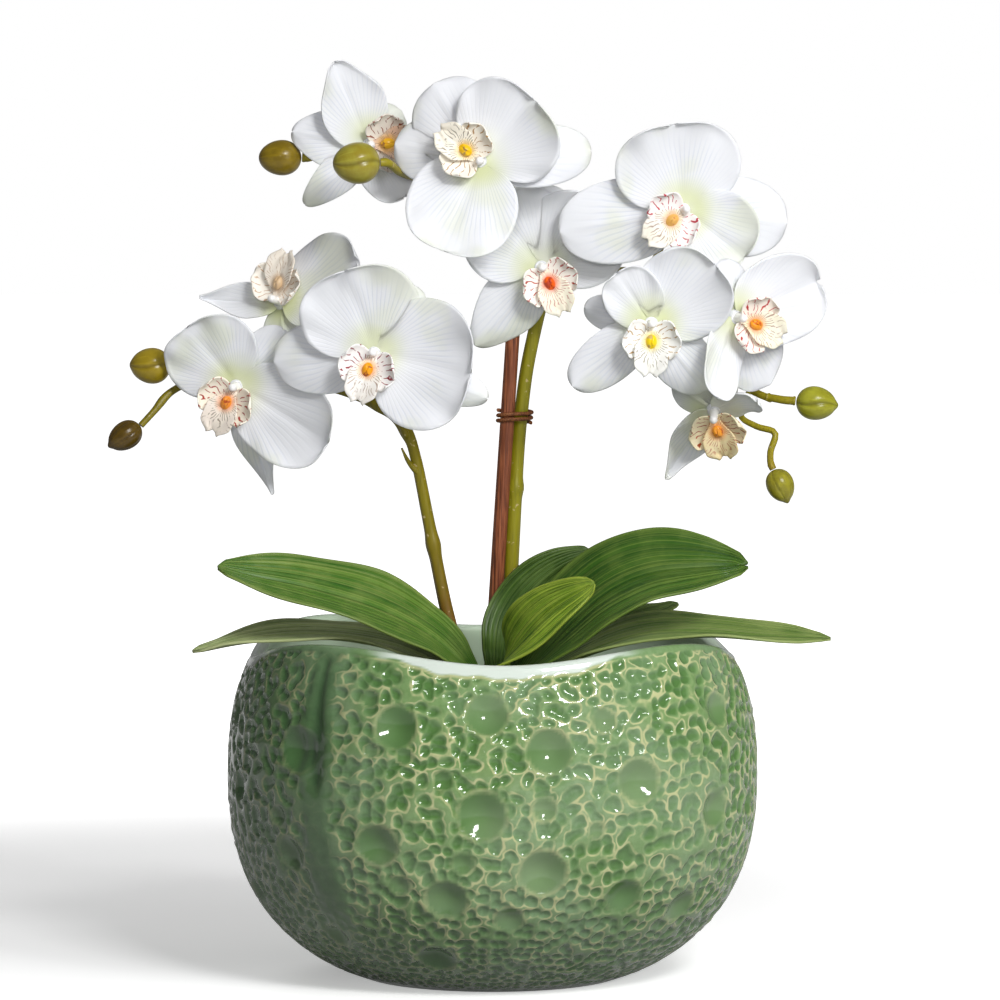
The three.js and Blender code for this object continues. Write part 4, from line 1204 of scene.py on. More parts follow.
# base is the height of a blade's foot, dish its rise from there to the tip and claw half the
# width of its foot. A roundness under 1 fills the blade out. ruffle is a share of the setting.
petal_form = {"base": 0.9, "dish": 6, "roundness": 0.68, "claw": 2.6, "ruffle": 1.0}
sepal_form = {"base": -0.9, "dish": -4, "roundness": 0.86, "claw": 2.0, "ruffle": 0.5}
blade_columns = 30
blade_rows = 30

# The ruffle's waves, each with its height, how closely it is spaced and its share of the shift
# from blade to blade. Then the fold along a blade, its depth in millimetres and its width as a
# share of half the blade, and the distances from the hub between which the throat's tint fades in.
ruffle_waves = [(1.0, 4.3, 1.0), (0.55, 9.7, 2.1), (0.3, 17, 1.0)]
fold_depth = 0.55
fold_width = 0.09
throat_reach = (17, 4)


def bloom_turn(bloom):
    yaw = Matrix.Rotation(math.radians(bloom["yaw"]), 3, "Z")
    return np.array(yaw @ Matrix.Rotation(math.radians(90 + bloom["nod"]), 3, "X"))


def into_bloom(places, bloom):
    """From a bloom's own millimetres, its face up, to its place in the frame."""
    return np.array(places, float) @ bloom_turn(bloom).T * mm + in_planting(bloom["hub"])


def blade_sheet(name, bloom, blade, rank, form, ruffle, phase):
    """One petal or sepal: a rounded sheet on a narrow foot, dished, with a softly waved edge."""
    clock, length, width, *tip = blade
    piece = new_grid(name, blade_columns, blade_rows)
    across, t = grid_shares(piece)
    s = 2 * across - 1
    base = form["base"] + rank * blade_step
    dish = form["dish"] * (1 + rank * blade_step)
    reach = mix_numbers(blade_start, length, (1 - np.cos(np.pi * t)) / 2)
    share = reach / length
    fullness = np.sin(np.pi * np.minimum(t, 0.993)) ** form["roundness"]
    for pointed in tip:
        fullness = fullness * (1 - pointed * smooth_step(share, 0.4, 1.05))
    half_width = np.maximum(form["claw"] * (1 - t), width / 2 * fullness)
    out = s * half_width
    fan = np.arctan2(out, reach + 1.5)
    edge = np.clip(np.abs(s) ** 3 + np.clip(1.8 * share - 0.8, 0, 1) ** 2, 0, 1)
    edge = edge * smooth_step(share, 0.1, 0.5)
    waves = sum(size * np.sin(count * fan + shift * phase) for size, count, shift in ruffle_waves)
    wave = ruffle * form["ruffle"] * edge * waves
    fold = -fold_depth * np.exp(-(s / fold_width) ** 2)
    fold = fold * smooth_step(share, 0.05, 0.25) * smooth_step(share, 1, 0.6)
    height = base + dish * share ** 2 + 0.5 * dish * share * s ** 2 + wave + fold * np.sign(form["dish"])
    angle = math.radians(clock)
    local = np.stack([
        math.cos(angle) * out + math.sin(angle) * reach,
        -math.sin(angle) * out + math.cos(angle) * reach, height], axis=1)
    write_points(piece, into_bloom(local, bloom))
    write_uv(piece, fan / math.pi + 0.5, np.hypot(out, reach) / length)
    write_attribute(piece, "throat", smooth_step(np.hypot(out, reach), *throat_reach))
    return piece


def hub_disc(name, bloom, low, high):
    """The small round heart that holds a layer's petals together."""
    stations = into_bloom([(0, 0, low), (0, 0, (low + high) / 2), (0, 0, high)], bloom)
    return new_tube(name, stations, lambda share: hub_radius * mm * (1 - 0.2 * share), 20, 4)


vein_count = 44.0


def petal_material(blooms_look):
    """White petal fabric: fine veins that fan out from the foot, and a yellow-green throat."""
    material, shader = new_material("White petal fabric")
    uv = split_place(material, surface_place(material, 1, 1))
    drift = add_noise(material, object_place(material), 90, 1.0).outputs["Fac"]
    sway = add_math(material, "MULTIPLY", drift, 0.7)
    count = add_math(material, "MULTIPLY_ADD", uv[0], vein_count, sway)
    comb = add_math(material, "SINE", add_math(material, "MULTIPLY", count, 2 * math.pi))
    vein = add_math(material, "MULTIPLY", add_range(material, comb, 0.2, 0.9),
                    add_range(material, uv[1], 0.95, 0.6, 0.15, 1))
    cloud = add_noise(material, object_place(material), 34, 2.0).outputs["Fac"]
    weave = add_noise(material, object_place(material), 2600, 2.0).outputs["Fac"]
    white = blooms_look.petal_colour
    shade = tuple(c * k for c, k in zip(white, (0.80, 0.83, 0.90)))
    seen_vein = add_math(material, "MULTIPLY", vein, add_range(material, cloud, 0.38, 0.62, 0.1, 0.6))
    tone = add_mix(material, seen_vein, white, shade)
    throat = read_attribute(material, "throat")
    tint = add_math(material, "MULTIPLY", throat, add_range(material, cloud, 0.3, 0.62, 0.25, 1))
    patch = add_range(material, cloud, 0.52, 0.68, 0, 0.32)
    tone = add_mix(material, add_math(material, "MAXIMUM", tint, patch), tone, blooms_look.throat_colour)
    link(material, tone, shader.inputs["Base Color"])
    shader.inputs["Roughness"].default_value = 0.55
    shader.inputs["Subsurface Weight"].default_value = 0.6
    shader.inputs["Subsurface Radius"].default_value = (0.009, 0.009, 0.009)
    shader.inputs["Sheen Weight"].default_value = 0.05
    relief = add_math(material, "MULTIPLY_ADD", weave, 0.12, add_math(material, "SUBTRACT", 1.0, vein))
    add_bump(material, shader, relief, 0.3, 0.12 * mm)
    return material


# Lips: two side lobes that cup a callus, a tongue in front of it and a blunt column behind,
# all in millimetres

callus_centre = (0, 6.4, lip_floor + 4.4)
callus_radii = (2.2, 2.9, 1.9)
lip_reach = 15
lip_thickness = 0.5
lobe_breadth = 7.6
lobe_spread = 11.2
lobe_rise = 5.6
lobe_bend = 1.3
tongue_half_width = 6.6
tongue_length = 18.5
tongue_rise = 4.8
frill_height = 0.4

# How closely the strokes stand on the side lobes and on the tongue, in radians a turn
dash_comb = 126.0
line_comb = 230.0


def into_lip(places, bloom):
    """From a lip's own millimetres, its tongue towards +Y, to its place in the frame."""
    angle = math.radians(bloom["lip"])
    cos, sin = math.cos(angle), math.sin(angle)
    turn = np.array([[cos, sin, 0], [-sin, cos, 0], [0, 0, 1]])
    return into_bloom(np.array(places, float) @ turn.T, bloom)


def mark_lip_part(piece, kind):
    for mark in ("tongue", "callus", "column"):
        write_attribute(piece, mark, np.full(len(piece.data.vertices), 1.0 if kind == mark else 0.0))


def lip_sheet(name, bloom, columns, rows, shape, kind):
    """One lobe of a lip. Its UV map runs round the callus and out from it."""
    piece = new_grid(name, columns, rows)
    across, t = grid_shares(piece)
    s = 2 * across - 1
    local = np.stack(shape(s, t), axis=1)
    write_points(piece, into_lip(local, bloom))
    x, y = local[:, 0], local[:, 1] - callus_centre[1]
    write_uv(piece, np.arctan2(x, y) / (2 * math.pi) + 0.5, np.hypot(x, y) / lip_reach)
    mark_lip_part(piece, kind)
    thicken(piece, lip_thickness * mm)
    smooth_shade(piece)
    return piece


def side_lobe(hand):
    """The shape of one side lobe, on the side that hand says, -1 or 1."""
    def shape(s, t):
        breadth = lobe_breadth * np.sin(np.pi * (0.1 + 0.8 * t)) ** 0.6
        frill = frill_height * np.sin(5 * s + 3 * t) * t ** 2
        x = hand * (0.4 + lobe_spread * np.sin(lobe_bend * t) / math.sin(lobe_bend) - 2.4 * s ** 2 * t)
        y = 4.4 + 2.2 * t + s * breadth
        z = lip_floor + 0.9 + lobe_rise * t ** 1.3 + 1.6 * s ** 2 + frill
        return x, y, z
    return shape


def tongue_shape(s, t):
    """The tongue: it widens from its foot, narrows to its tip and has a groove along it."""
    spread = 0.3 + 0.7 * smooth_step(t, 0.08, 0.5) - 0.62 * smooth_step(t, 0.72, 1.0) ** 1.5
    rise = 1 + tongue_rise * np.sin(np.pi * 0.62 * t) - 0.6 * t ** 4
    lobes = 1 + 0.1 * np.abs(s) * smooth_step(t, 0.4, 0.9)
    frill = frill_height * np.sin(8 * s + 2) * smooth_step(t, 0.5, 1)
    x = tongue_half_width * spread * s
    y = tongue_length * t * lobes
    z = lip_floor + rise + 1.6 * spread * s ** 2 - 0.5 * np.exp(-(s / 0.16) ** 2) * spread + frill
    return x, y, z


def rounded_lump(name, bloom, centre, radii, kind):
    """A small closed lump with a cleft over its top."""
    columns, rows = 28, 18
    piece = new_grid(name, columns, rows)
    around, rise = grid_shares(piece)
    turn = 2 * np.pi * around
    lean = np.pi * (1 - rise)
    cleft = 1 - 0.36 * np.exp(-(np.sin(turn - np.pi / 2) / 0.3) ** 2) * smooth_step(rise, 0.5, 0.9)
    local = np.stack([
        centre[0] + radii[0] * np.sin(lean) * np.cos(turn) * cleft,
        centre[1] + radii[1] * np.sin(lean) * np.sin(turn) * cleft,
        centre[2] + radii[2] * np.cos(lean) * cleft], axis=1)
    write_points(piece, into_lip(local, bloom))
    write_uv(piece, around, rise)
    mark_lip_part(piece, kind)
    close_seams(piece)
    smooth_shade(piece)
    return piece


def lip_column(name, bloom):
    stations = into_lip([(0, 0, lip_floor - 0.1), (0, -0.3, lip_floor + 2.6), (0, -0.6, lip_floor + 5),
                         (0, 0.2, lip_floor + 6.6)], bloom)

    def radius_at(share):
        head = 0.2 * np.exp(-((share - 0.8) / 0.16) ** 2)
        round_off = np.sqrt(np.clip((1.0001 - share) / 0.14, 0, 1))
        return mm * (1.9 - 0.6 * share + head) * round_off

    piece = new_tube(name, stations, radius_at, 18, 16)
    mark_lip_part(piece, "column")
    return piece


def lip_material(name, bloom):
    """The lip's own colours: broken dashes on the side lobes, lines on the tongue, a bright callus."""
    material, shader = new_material(name)
    tongue = read_attribute(material, "tongue")
    callus = read_attribute(material, "callus")
    column = read_attribute(material, "column")
    uv = split_place(material, surface_place(material, 1, 1))
    place = object_place(material)
    breaks = add_noise(material, place, 430, 2.0, 0.5).outputs["Fac"]
    patch = add_noise(material, place, 150, 2.0, 0.5).outputs["Fac"]
    sway = add_noise(material, place, 240, 1.0).outputs["Fac"]

    turn = add_math(material, "MULTIPLY_ADD", sway, 0.09, uv[0])
    comb = add_math(material, "SINE", add_math(material, "MULTIPLY", turn, dash_comb))
    stroke = add_range(material, comb, 0.76, 0.95)
    reach = add_math(material, "MULTIPLY", add_range(material, uv[1], 0.16, 0.26),
                     add_range(material, uv[1], 0.92, 0.66))
    dashes = add_math(material, "MULTIPLY", add_math(material, "MULTIPLY", stroke, reach),
                      add_range(material, breaks, 0.42, 0.5))
    fine_comb = add_math(material, "SINE", add_math(material, "MULTIPLY", turn, line_comb))
    fine_stroke = add_range(material, fine_comb, 0.4, 0.9, 0, 0.75)
    lines = add_math(material, "MULTIPLY", fine_stroke, add_range(material, uv[1], 0.9, 0.5))
    lines = add_math(material, "MULTIPLY", lines, add_range(material, breaks, 0.42, 0.52))

    glow = add_mix(material, add_range(material, uv[1], 0.34, 0.16, 0, 0.5), bloom["lobe"], bloom["callus"])
    lobe = add_mix(material, dashes, glow, bloom["dash"])
    warm = add_mix(material, add_range(material, patch, 0.4, 0.65, 0, 0.45), bloom["tongue"], bloom["lobe"])
    warm = add_mix(material, add_range(material, uv[1], 0.34, 0.15, 0, 0.6), warm, bloom["callus"])
    tongue_tone = add_mix(material, lines, warm, bloom["line"])
    tone = add_mix(material, tongue, lobe, tongue_tone)
    spots = add_range(material, breaks, 0.56, 0.64, 0, 0.8)
    speck = add_mix(material, spots, bloom["callus"], bloom["dash"])
    tone = add_mix(material, callus, tone, speck)
    tone = add_mix(material, column, tone, paint(250, 248, 246))
    link(material, tone, shader.inputs["Base Color"])
    gloss = add_range(material, callus, 0, 1, 0.5, 0.28)
    link(material, gloss, shader.inputs["Roughness"])
    shader.inputs["Subsurface Weight"].default_value = 0.08
    shader.inputs["Subsurface Radius"].default_value = (0.002, 0.002, 0.002)
    add_bump(material, shader, breaks, 0.25, 0.2 * mm)
    return material


class OBJECT_OT_planter_blooms(bpy.types.Operator):
    """Opens the ten blooms: sepals behind, petals in front, and the coloured lip"""

    bl_idname = "object.planter_blooms"
    bl_label = "Blooms"

    def add_layer(self, name, bloom, layer, form, settings, material, phase):
        low, high = (clearance / 2, clearance / 2 + hub_depth)
        if form is sepal_form:
            low, high = -high, -low
        sheets = []
        for rank, blade in enumerate(bloom[layer]):
            sheets.append(blade_sheet(
                f"{name}_{layer}_{rank}", bloom, blade, rank, form, settings.ruffle / mm,
                phase + 2.3 * rank))
        sheet = join_pieces(sheets, f"{name}_{layer}_sheets")
        thicken(sheet, settings.petal_thickness)
        smooth_shade(sheet)
        piece = join_pieces([sheet, hub_disc(f"{name}_{layer}_hub", bloom, low, high)], f"{name}_{layer}")
        set_material(piece, material)
        set_in_place(piece, "planting", "petal_fabric", f"bloom_{name}_{layer}")

    def add_lip(self, name, bloom):
        parts = [
            lip_sheet(f"{name}_tongue", bloom, 26, 30, tongue_shape, "tongue"),
            lip_sheet(f"{name}_lobe_a", bloom, 22, 20, side_lobe(-1), "lobe"),
            lip_sheet(f"{name}_lobe_b", bloom, 22, 20, side_lobe(1), "lobe"),
            rounded_lump(f"{name}_callus", bloom, callus_centre, callus_radii, "callus"),
            lip_column(f"{name}_column", bloom),
        ]
        piece = join_pieces(parts, f"{name}_lip")
        set_material(piece, lip_material(f"Lip {name.replace('_', ' ')}", bloom))
        set_in_place(piece, "planting", "lip_fabric", f"bloom_{name}_lip")

    def execute(self, context):
        settings = context.scene.planter_blooms
        material = petal_material(settings)
        for phase, (name, bloom) in enumerate(blooms.items()):
            self.add_layer(name, bloom, "sepals", sepal_form, settings, material, 1.9 * phase)
            self.add_layer(name, bloom, "petals", petal_form, settings, material, 1.3 * phase + 0.7)
            self.add_lip(name, bloom)
        return {"FINISHED"}


# Buds: centre, the point of the stalk that each sits on, length, width, the number and depth of
# its seams, how far its tip is drawn out, and its two greens

buds = {
    "top_outer": {
        "centre": (-84.4, 10, 219.4), "stalk": (-74.5, 11, 219.4), "length": 17, "width": 14,
        "seams": 2, "seam_depth": 0.02, "point": 0.0, "greens": [paint(104, 84, 12), paint(140, 118, 22)],
    },
    "top_inner": {
        "centre": (-53, -30, 217.3), "stalk": (-42, -28, 217.5), "length": 18.5, "width": 16,
        "seams": 2, "seam_depth": 0.08, "point": 0.0, "greens": [paint(140, 118, 22), paint(164, 158, 60)],
    },
    "left_upper": {
        "centre": (-135.5, -3, 137), "stalk": (-126, -2, 136.5), "length": 16, "width": 14,
        "seams": 2, "seam_depth": 0.07, "point": 0.04, "greens": [paint(134, 112, 14), paint(168, 146, 34)],
    },
    "left_lower": {
        "centre": (-145.2, -11, 109.5), "stalk": (-139, -9, 113.5), "length": 14.5, "width": 11,
        "seams": 6, "seam_depth": 0.06, "point": 0.12, "greens": [paint(64, 46, 6), paint(98, 76, 14)],
    },
    "right_upper": {
        "centre": (128.6, -6, 122.2), "stalk": (120.5, -5, 123), "length": 16, "width": 13,
        "seams": 2, "seam_depth": 0.12, "point": 0.1, "greens": [paint(122, 116, 16), paint(168, 168, 48)],
    },
    "right_lower": {
        "centre": (114.4, -7, 89.6), "stalk": (111.2, -6, 97), "length": 13.5, "width": 11,
        "seams": 5, "seam_depth": 0.06, "point": 0.14, "greens": [paint(112, 104, 16), paint(158, 152, 46)],
    },
}


# How far a seam's furrow and its dark line spread to its sides, where 1 is halfway to the next
seam_width = 0.16
seam_line = 0.12


def bud_axis(bud):
    return unit(np.array(bud["centre"], float) - np.array(bud["stalk"], float))


def bud_shell(name, bud):
    """An egg, blunt at its stalk, with seams that run to its tip."""
    columns, rows = 72, 48
    piece = new_grid(name, columns, rows)
    around, rise = grid_shares(piece)
    turn = 2 * np.pi * around
    lean = np.pi * rise
    radius = bud["width"] / 2 * np.sin(lean) * (1 + 0.1 * np.cos(lean))
    seam_turn = turn * bud["seams"] + 0.35 * np.sin(2 * lean)
    seam = np.abs(np.sin(seam_turn / 2))
    furrow = np.exp(-(seam / seam_width) ** 2) * smooth_step(rise, 0.02, 0.2)
    radius = radius * (1 - bud["seam_depth"] * furrow)
    radius = radius * (1 + 0.25 * bud["seam_depth"] * np.cos(seam_turn + np.pi))
    ends = smooth_step(rise, 0.86, 1.0)
    height = -bud["length"] / 2 * np.cos(lean) * (1 + bud["point"] * ends)
    axis = bud_axis(bud)
    side = unit(np.cross(axis, [0.0, 0.0, 1.0]))
    up = np.cross(side, axis)
    local = np.array(bud["centre"], float) + axis * height[:, None] + radius[:, None] * (
        side * np.cos(turn)[:, None] + up * np.sin(turn)[:, None])
    write_points(piece, in_planting(local))
    write_uv(piece, around, rise)
    line = np.exp(-(seam / seam_line) ** 2) * min(1, bud["seam_depth"] / 0.08)
    write_attribute(piece, "seam", line)
    write_attribute(piece, "along", rise)
    close_seams(piece)
    smooth_shade(piece)
    return piece


def bud_material(name, bud):
    """Waxy bud green with fine lengthwise streaks and darker seams."""
    material, shader = new_material(name)
    streak = add_noise(material, surface_place(material, 26, 1.6), 1.0, 3.0, 0.6).outputs["Fac"]
    mottle = add_noise(material, object_place(material), 240, 3.0, 0.6).outputs["Fac"]
    dark, light = bud["greens"]
    tone = add_mix(material, add_range(material, mottle, 0.3, 0.7, 0.35, 0.85), dark, light)
    tone = add_mix(material, add_range(material, streak, 0.5, 0.7, 0, 0.5), tone, toned(light, 1.25))
    seams = add_math(material, "MULTIPLY", read_attribute(material, "seam"), 0.6)
    tone = add_mix(material, seams, tone, toned(dark, 0.35))
    ends = add_range(material, read_attribute(material, "along"), 0.8, 1.0, 0, 0.45)
    tone = add_mix(material, ends, tone, toned(dark, 0.5))
    link(material, tone, shader.inputs["Base Color"])
    shader.inputs["Roughness"].default_value = 0.28
    add_bump(material, shader, streak, 0.3, 0.3 * mm)
    return material


class OBJECT_OT_planter_buds(bpy.types.Operator):
    """Shapes the six closed buds"""

    bl_idname = "object.planter_buds"
    bl_label = "Buds"

    def execute(self, context):
        for name, bud in buds.items():
            piece = bud_shell(f"{name}_bud", bud)
            set_material(piece, bud_material(f"Bud {name.replace('_', ' ')}", bud))
            set_in_place(piece, "planting", "bud_plastic", f"bud_{name}")
        return {"FINISHED"}


# Stems, stake and tie, in millimetres from the middle of the planting's top

left_stem_radius = 3.2
centre_stem_radius = 3.2
stem_taper = 0.82
pedicel_radius = 1.25
reed_radius = 2.75
tie_radius = 0.75
tie_pitch = 2.1
tie_turns = 2.5
tie_height = 113.5
left_stem_route = [
    (-11, 6, -32), (-12.5, 6, 10), (-15.5, 5, 28), (-19, 5, 43), (-25.4, 5, 75), (-30.5, 5, 100),
    (-33, 5, 108), (-39, 5, 116.5), (-50, 6, 123), (-64, 8, 128), (-80, 9, 132), (-98, 6, 134),
    (-115, 2, 132), (-127.5, -3, 126.5), (-134, -7, 119), (-139, -9, 113.5),
]
centre_stem_route = [
    (5, 14, -32), (6, 14, 6), (7.2, 14, 44), (8.6, 14.2, 74), (10.4, 14.5, 104), (12, 14.5, 120),
    (14, 14.5, 135), (17.2, 14.5, 150.7), (19.4, 14.5, 160),
]
stake_route = [(-4, 11, -44), (-0.6, 11, 12), (8.3, 11, 149)]
left_spray_route = [
    (19.47, 14.5, 160.3), (20.5, 14.6, 166), (21.5, 15, 176), (18, 15, 192), (8, 13, 206), (-10, 12, 216),
    (-30, 15, 222), (-48, 18, 225), (-64, 12, 224),
]
right_spray_route = [
    (23, 15.2, 165.6), (26, 16, 167), (34, 18, 170), (46, 17, 173), (62, 12, 173), (76, 9, 166),
    (88, 8, 150), (96, 7, 137), (103, 4, 127.5), (111, -1, 123.5),
]

# How much a joint thickens a stem, and its reach as a share of the stem's length
joint_swell = 0.24
joint_reach = 0.014


def swollen(start, end, joints):
    """A stem's radius along it, tapering from start to end, thicker at each joint."""
    def radius_at(share):
        radius = mix_numbers(start, end, share)
        for joint in joints:
            radius = radius * (1 + joint_swell * np.exp(-((share - joint) / joint_reach) ** 2))
        return radius * mm
    return radius_at


def even(radius):
    """A radius that stays the same along a route."""
    def radius_at(share):
        return np.full_like(share, radius * mm)
    return radius_at


def stem_tube(name, stations, start, end, rings, sides=16, joints=()):
    def ripple(turn, share):
        return 0.07 * mm * np.sin(5 * turn + 9 * share) + 0.04 * mm * np.sin(11 * turn)
    return new_tube(name, in_planting(stations), swollen(start, end, joints), sides, rings, ripple)


def bloom_stalk(root, name):
    bloom = blooms[name]
    ends = (into_bloom([(0, 0, -hub_depth - 8), (0, 0, -lip_floor)], bloom) - (0, 0, planting_top)) / mm
    return stem_tube(f"stalk_{name}", [root, *ends], pedicel_radius, pedicel_radius * 1.3, 20, 12,
                     (0.06, 0.94))


def bud_stalk(stations, name, radius):
    bud = buds[name]
    axis = bud_axis(bud)
    foot = np.array(bud["centre"], float) - axis * (bud["length"] / 2 + clearance)
    return stem_tube(f"stalk_{name}", [*stations, foot - 2.5 * axis, foot], radius, radius * 1.15, 24, 12,
                     (0.08, 0.97))


def bract(name, root, lean, length, width):
    """A small pointed sheath that hugs a joint of the stem."""
    tip = np.array(root, float) + np.array(lean, float) * length
    middle = (np.array(root, float) + tip) / 2 + np.array([0, -0.6, 0.8])

    def radius_at(share):
        swell = 0.5 + 0.5 * np.sin(np.pi * np.clip(share * 1.6, 0, 1) * 0.5)
        return mm * width * swell * (1.02 - share) ** 0.7

    return new_tube(name, in_planting([root, middle, tip]), radius_at, 12, 14)


def stem_material(name, top, foot, speck, low, high):
    """Stem green that turns brown towards its foot, with scuffs and pale specks."""
    material, shader = new_material(name)
    place = object_place(material)
    height = split_place(material, place)[2]
    sway = add_noise(material, place, 60, 2.0).outputs["Fac"]
    level = add_math(material, "MULTIPLY_ADD", sway, 0.03, height)
    tone = add_mix(material, add_range(material, level, low, high), foot, top)
    streaks = add_node(material, "ShaderNodeMapping", in_Scale=(1, 1, 0.06))
    link(material, place, streaks.inputs["Vector"])
    streak = add_noise(material, streaks.outputs["Vector"], 900, 2.0, 0.6).outputs["Fac"]
    tone = add_mix(material, add_range(material, streak, 0.4, 0.7, 0, 0.45), tone, toned(top, 0.5))
    dots = add_noise(material, place, 480, 2.0, 0.5).outputs["Fac"]
    tone = add_mix(material, add_range(material, dots, 0.66, 0.72, 0, 0.75), tone, speck)
    link(material, tone, shader.inputs["Base Color"])
    shader.inputs["Roughness"].default_value = 0.42
    add_bump(material, shader, streak, 0.3, 0.25 * mm)
    return material


def reed_material():
    """Reddish reed with dark lengthwise grooves."""
    material, shader = new_material("Reddish reed")
    place = object_place(material)
    stretched = add_node(material, "ShaderNodeMapping", in_Scale=(1, 1, 0.03))
    link(material, place, stretched.inputs["Vector"])
    grain = add_noise(material, stretched.outputs["Vector"], 1500, 3.0, 0.6).outputs["Fac"]
    patch = add_noise(material, place, 45, 3.0, 0.6).outputs["Fac"]
    tone = add_ramp(material, grain, [
        (0.34, paint(70, 32, 16)), (0.48, paint(124, 66, 38)), (0.66, paint(164, 98, 62))])
    tone = add_mix(material, add_range(material, patch, 0.45, 0.7, 0, 0.5), tone, paint(100, 50, 28))
    link(material, tone, shader.inputs["Base Color"])
    shader.inputs["Roughness"].default_value = 0.5
    add_bump(material, shader, grain, 0.5, 0.3 * mm)
    return material


def twine_material():
    """Brown waxed twine, darker between its twisted strands."""
    material, shader = new_material("Waxed twine")
    fibre = add_noise(material, object_place(material), 1900, 3.0, 0.6).outputs["Fac"]
    tone = add_ramp(material, fibre, [(0.35, paint(70, 36, 16)), (0.6, paint(146, 88, 48))])
    link(material, tone, shader.inputs["Base Color"])
    shader.inputs["Roughness"].default_value = 0.6
    add_bump(material, shader, fibre, 0.5, 0.2 * mm)
    return material


def route_at(route, height):
    dense = route_points(np.array(route, float), 400)
    return dense[np.argmin(np.abs(dense[:, 2] - height))].copy()


def tie_path():
    """The tight loop round stake and stem, climbing one pitch a turn."""
    posts = [
        (stake_route, reed_radius + clearance + tie_radius),
        (centre_stem_route, centre_stem_radius + clearance + tie_radius),
    ]
    steps_per_turn = 14
    path = []
    for i in range(int(steps_per_turn * tie_turns) + 1):
        angle = 2 * math.pi * i / steps_per_turn
        out = np.array([math.cos(angle), math.sin(angle), 0])
        height = tie_height + tie_pitch * i / steps_per_turn
        reaches = [route_at(route, height) + out * reach for route, reach in posts]
        point = max(reaches, key=lambda place: float(place @ out))
        point[2] = height
        path.append(point)
    return path


class OBJECT_OT_planter_stems(bpy.types.Operator):
    """Draws the flower stems with their stalks, the reed stake and the twine that ties it"""

    bl_idname = "object.planter_stems"
    bl_label = "Stems and Stake"

    def finish_stem(self, parts, name, material, node, slot_name="stem_plastic"):
        piece = join_pieces(parts, name)
        set_material(piece, material)
        set_in_place(piece, "planting", slot_name, node)

    def execute(self, context):
        olive = paint(128, 116, 14)
        speck = paint(196, 176, 128)
        left = [
            stem_tube("left_stem", left_stem_route, left_stem_radius, left_stem_radius * 0.4, 190, 22,
                      (0.37, 0.545, 0.6, 0.69, 0.77, 0.87, 0.95)),
            bloom_stalk((-35, 5, 112), "left_front"),
            bloom_stalk((-84, 9, 132.5), "left_outer"),
            bloom_stalk((-72, 9, 130), "left_back"),
            bud_stalk([(-111, 3, 132.8), (-119, 0, 135.5)], "left_upper", 1.3),
            stem_tube("left_thorn", [(-28.5, 4.5, 93), (-33, 3, 98), (-36, 2, 104)], 1.6, 0.35, 12, 12),
            bract("left_bract", (-33.5, 3.2, 108), (-0.55, -0.2, 0.8), 8, 2.2),
        ]
        low = planting_top + 30 * mm
        high = planting_top + 96 * mm
        self.finish_stem(left, "stem_of_left_spray", stem_material(
            "Left stem", olive, paint(108, 72, 26), speck, low, high), "stem_left")
        centre = [stem_tube("centre_stem", centre_stem_route, centre_stem_radius,
                            centre_stem_radius * stem_taper, 120, 22, (0.3, 0.62))]
        self.finish_stem(centre, "stem_of_centre_spray", stem_material(
            "Centre stem", paint(140, 134, 20), paint(112, 104, 16), speck, low, high), "stem_centre")
        sprays = {
            "spray_left": [
                stem_tube("left_spray", left_spray_route, 2.6, 1.5, 130, 16, (0.12, 0.36, 0.55, 0.72, 0.88)),
                bloom_stalk((20, 15, 184), "centre"),
                bloom_stalk((-2, 12, 212), "top_centre"),
                bloom_stalk((-44, 17.5, 224.7), "top_left"),
                bud_stalk([(-61, 13.5, 224.3), (-67.5, 12, 222)], "top_outer", 1.5),
                bud_stalk([(-16, 12.5, 218.5), (-27, 2, 212), (-36, -16, 213.5)], "top_inner", 1.4),
            ],
            "spray_right": [
                stem_tube("right_spray", right_spray_route, 2.4, 1.4, 130, 16, (0.1, 0.36, 0.52, 0.72, 0.9)),
                bloom_stalk((62, 12, 173), "right_top"),
                bloom_stalk((71.6, 10.4, 169.6), "centre_right"),
                bloom_stalk((86, 8, 153), "right"),
                bloom_stalk((98, 6, 134), "right_lower"),
                bud_stalk([(109, 0, 124.5), (114, -3, 123.6)], "right_upper", 1.5),
                bud_stalk([(103, 4, 127.5), (99, 1, 117), (105, -2, 113), (112.4, -5, 110.3),
                           (110.6, -6, 103)], "right_lower", 1.2),
            ],
        }
        spray_green = stem_material("Spray stems", paint(150, 138, 24), paint(150, 108, 44), speck,
                                    planting_top + 100 * mm, planting_top + 122 * mm)
        for node, parts in sprays.items():
            self.finish_stem(parts, f"stems_of_{node}", spray_green, node)

        def grooves(turn, share):
            return 0.1 * mm * np.sin(9 * turn) + 0.06 * mm * np.sin(21 * turn + 3 * share)

        stake = new_tube("reed", in_planting(stake_route), even(reed_radius), 48, 60, grooves)
        self.finish_stem([stake], "reed_rod", reed_material(), "reed_stake", "reed")

        def twist(turn, share):
            return 0.14 * mm * np.abs(np.sin(turn * 1.5 + 120 * share)) - 0.07 * mm

        twine = new_tube("twine", in_planting(tie_path()), even(tie_radius), 14, 260, twist)
        self.finish_stem([twine], "twine_tie", twine_material(), "raffia_tie", "raffia")
        return {"FINISHED"}


# Stage


# The paper's middle, the middle and reach of the place where it keeps its shadow, its shade
# where the camera sees it and where it only throws light back, and how much of it glaze mirrors
paper_middle = (0, 3)
shadow_middle = (-0.12, 0.22)
shadow_reach = (0.16, 0.54)
paper_seen = 0.95
paper_unseen = 0.35
paper_mirrored = 0.28

# The camera's place, how far it looks down for each metre ahead, the width of its sensor in
# millimetres and its focal length in widths of the sensor
camera_place = (3.2 * mm, -2.2, 0.325)
camera_fall = 0.06163
sensor_width = 36
focal_widths = 5.538


def aim(item, place, target):
    item.rotation_euler = (Vector(target) - Vector(place)).to_track_quat("-Z", "Y").to_euler()


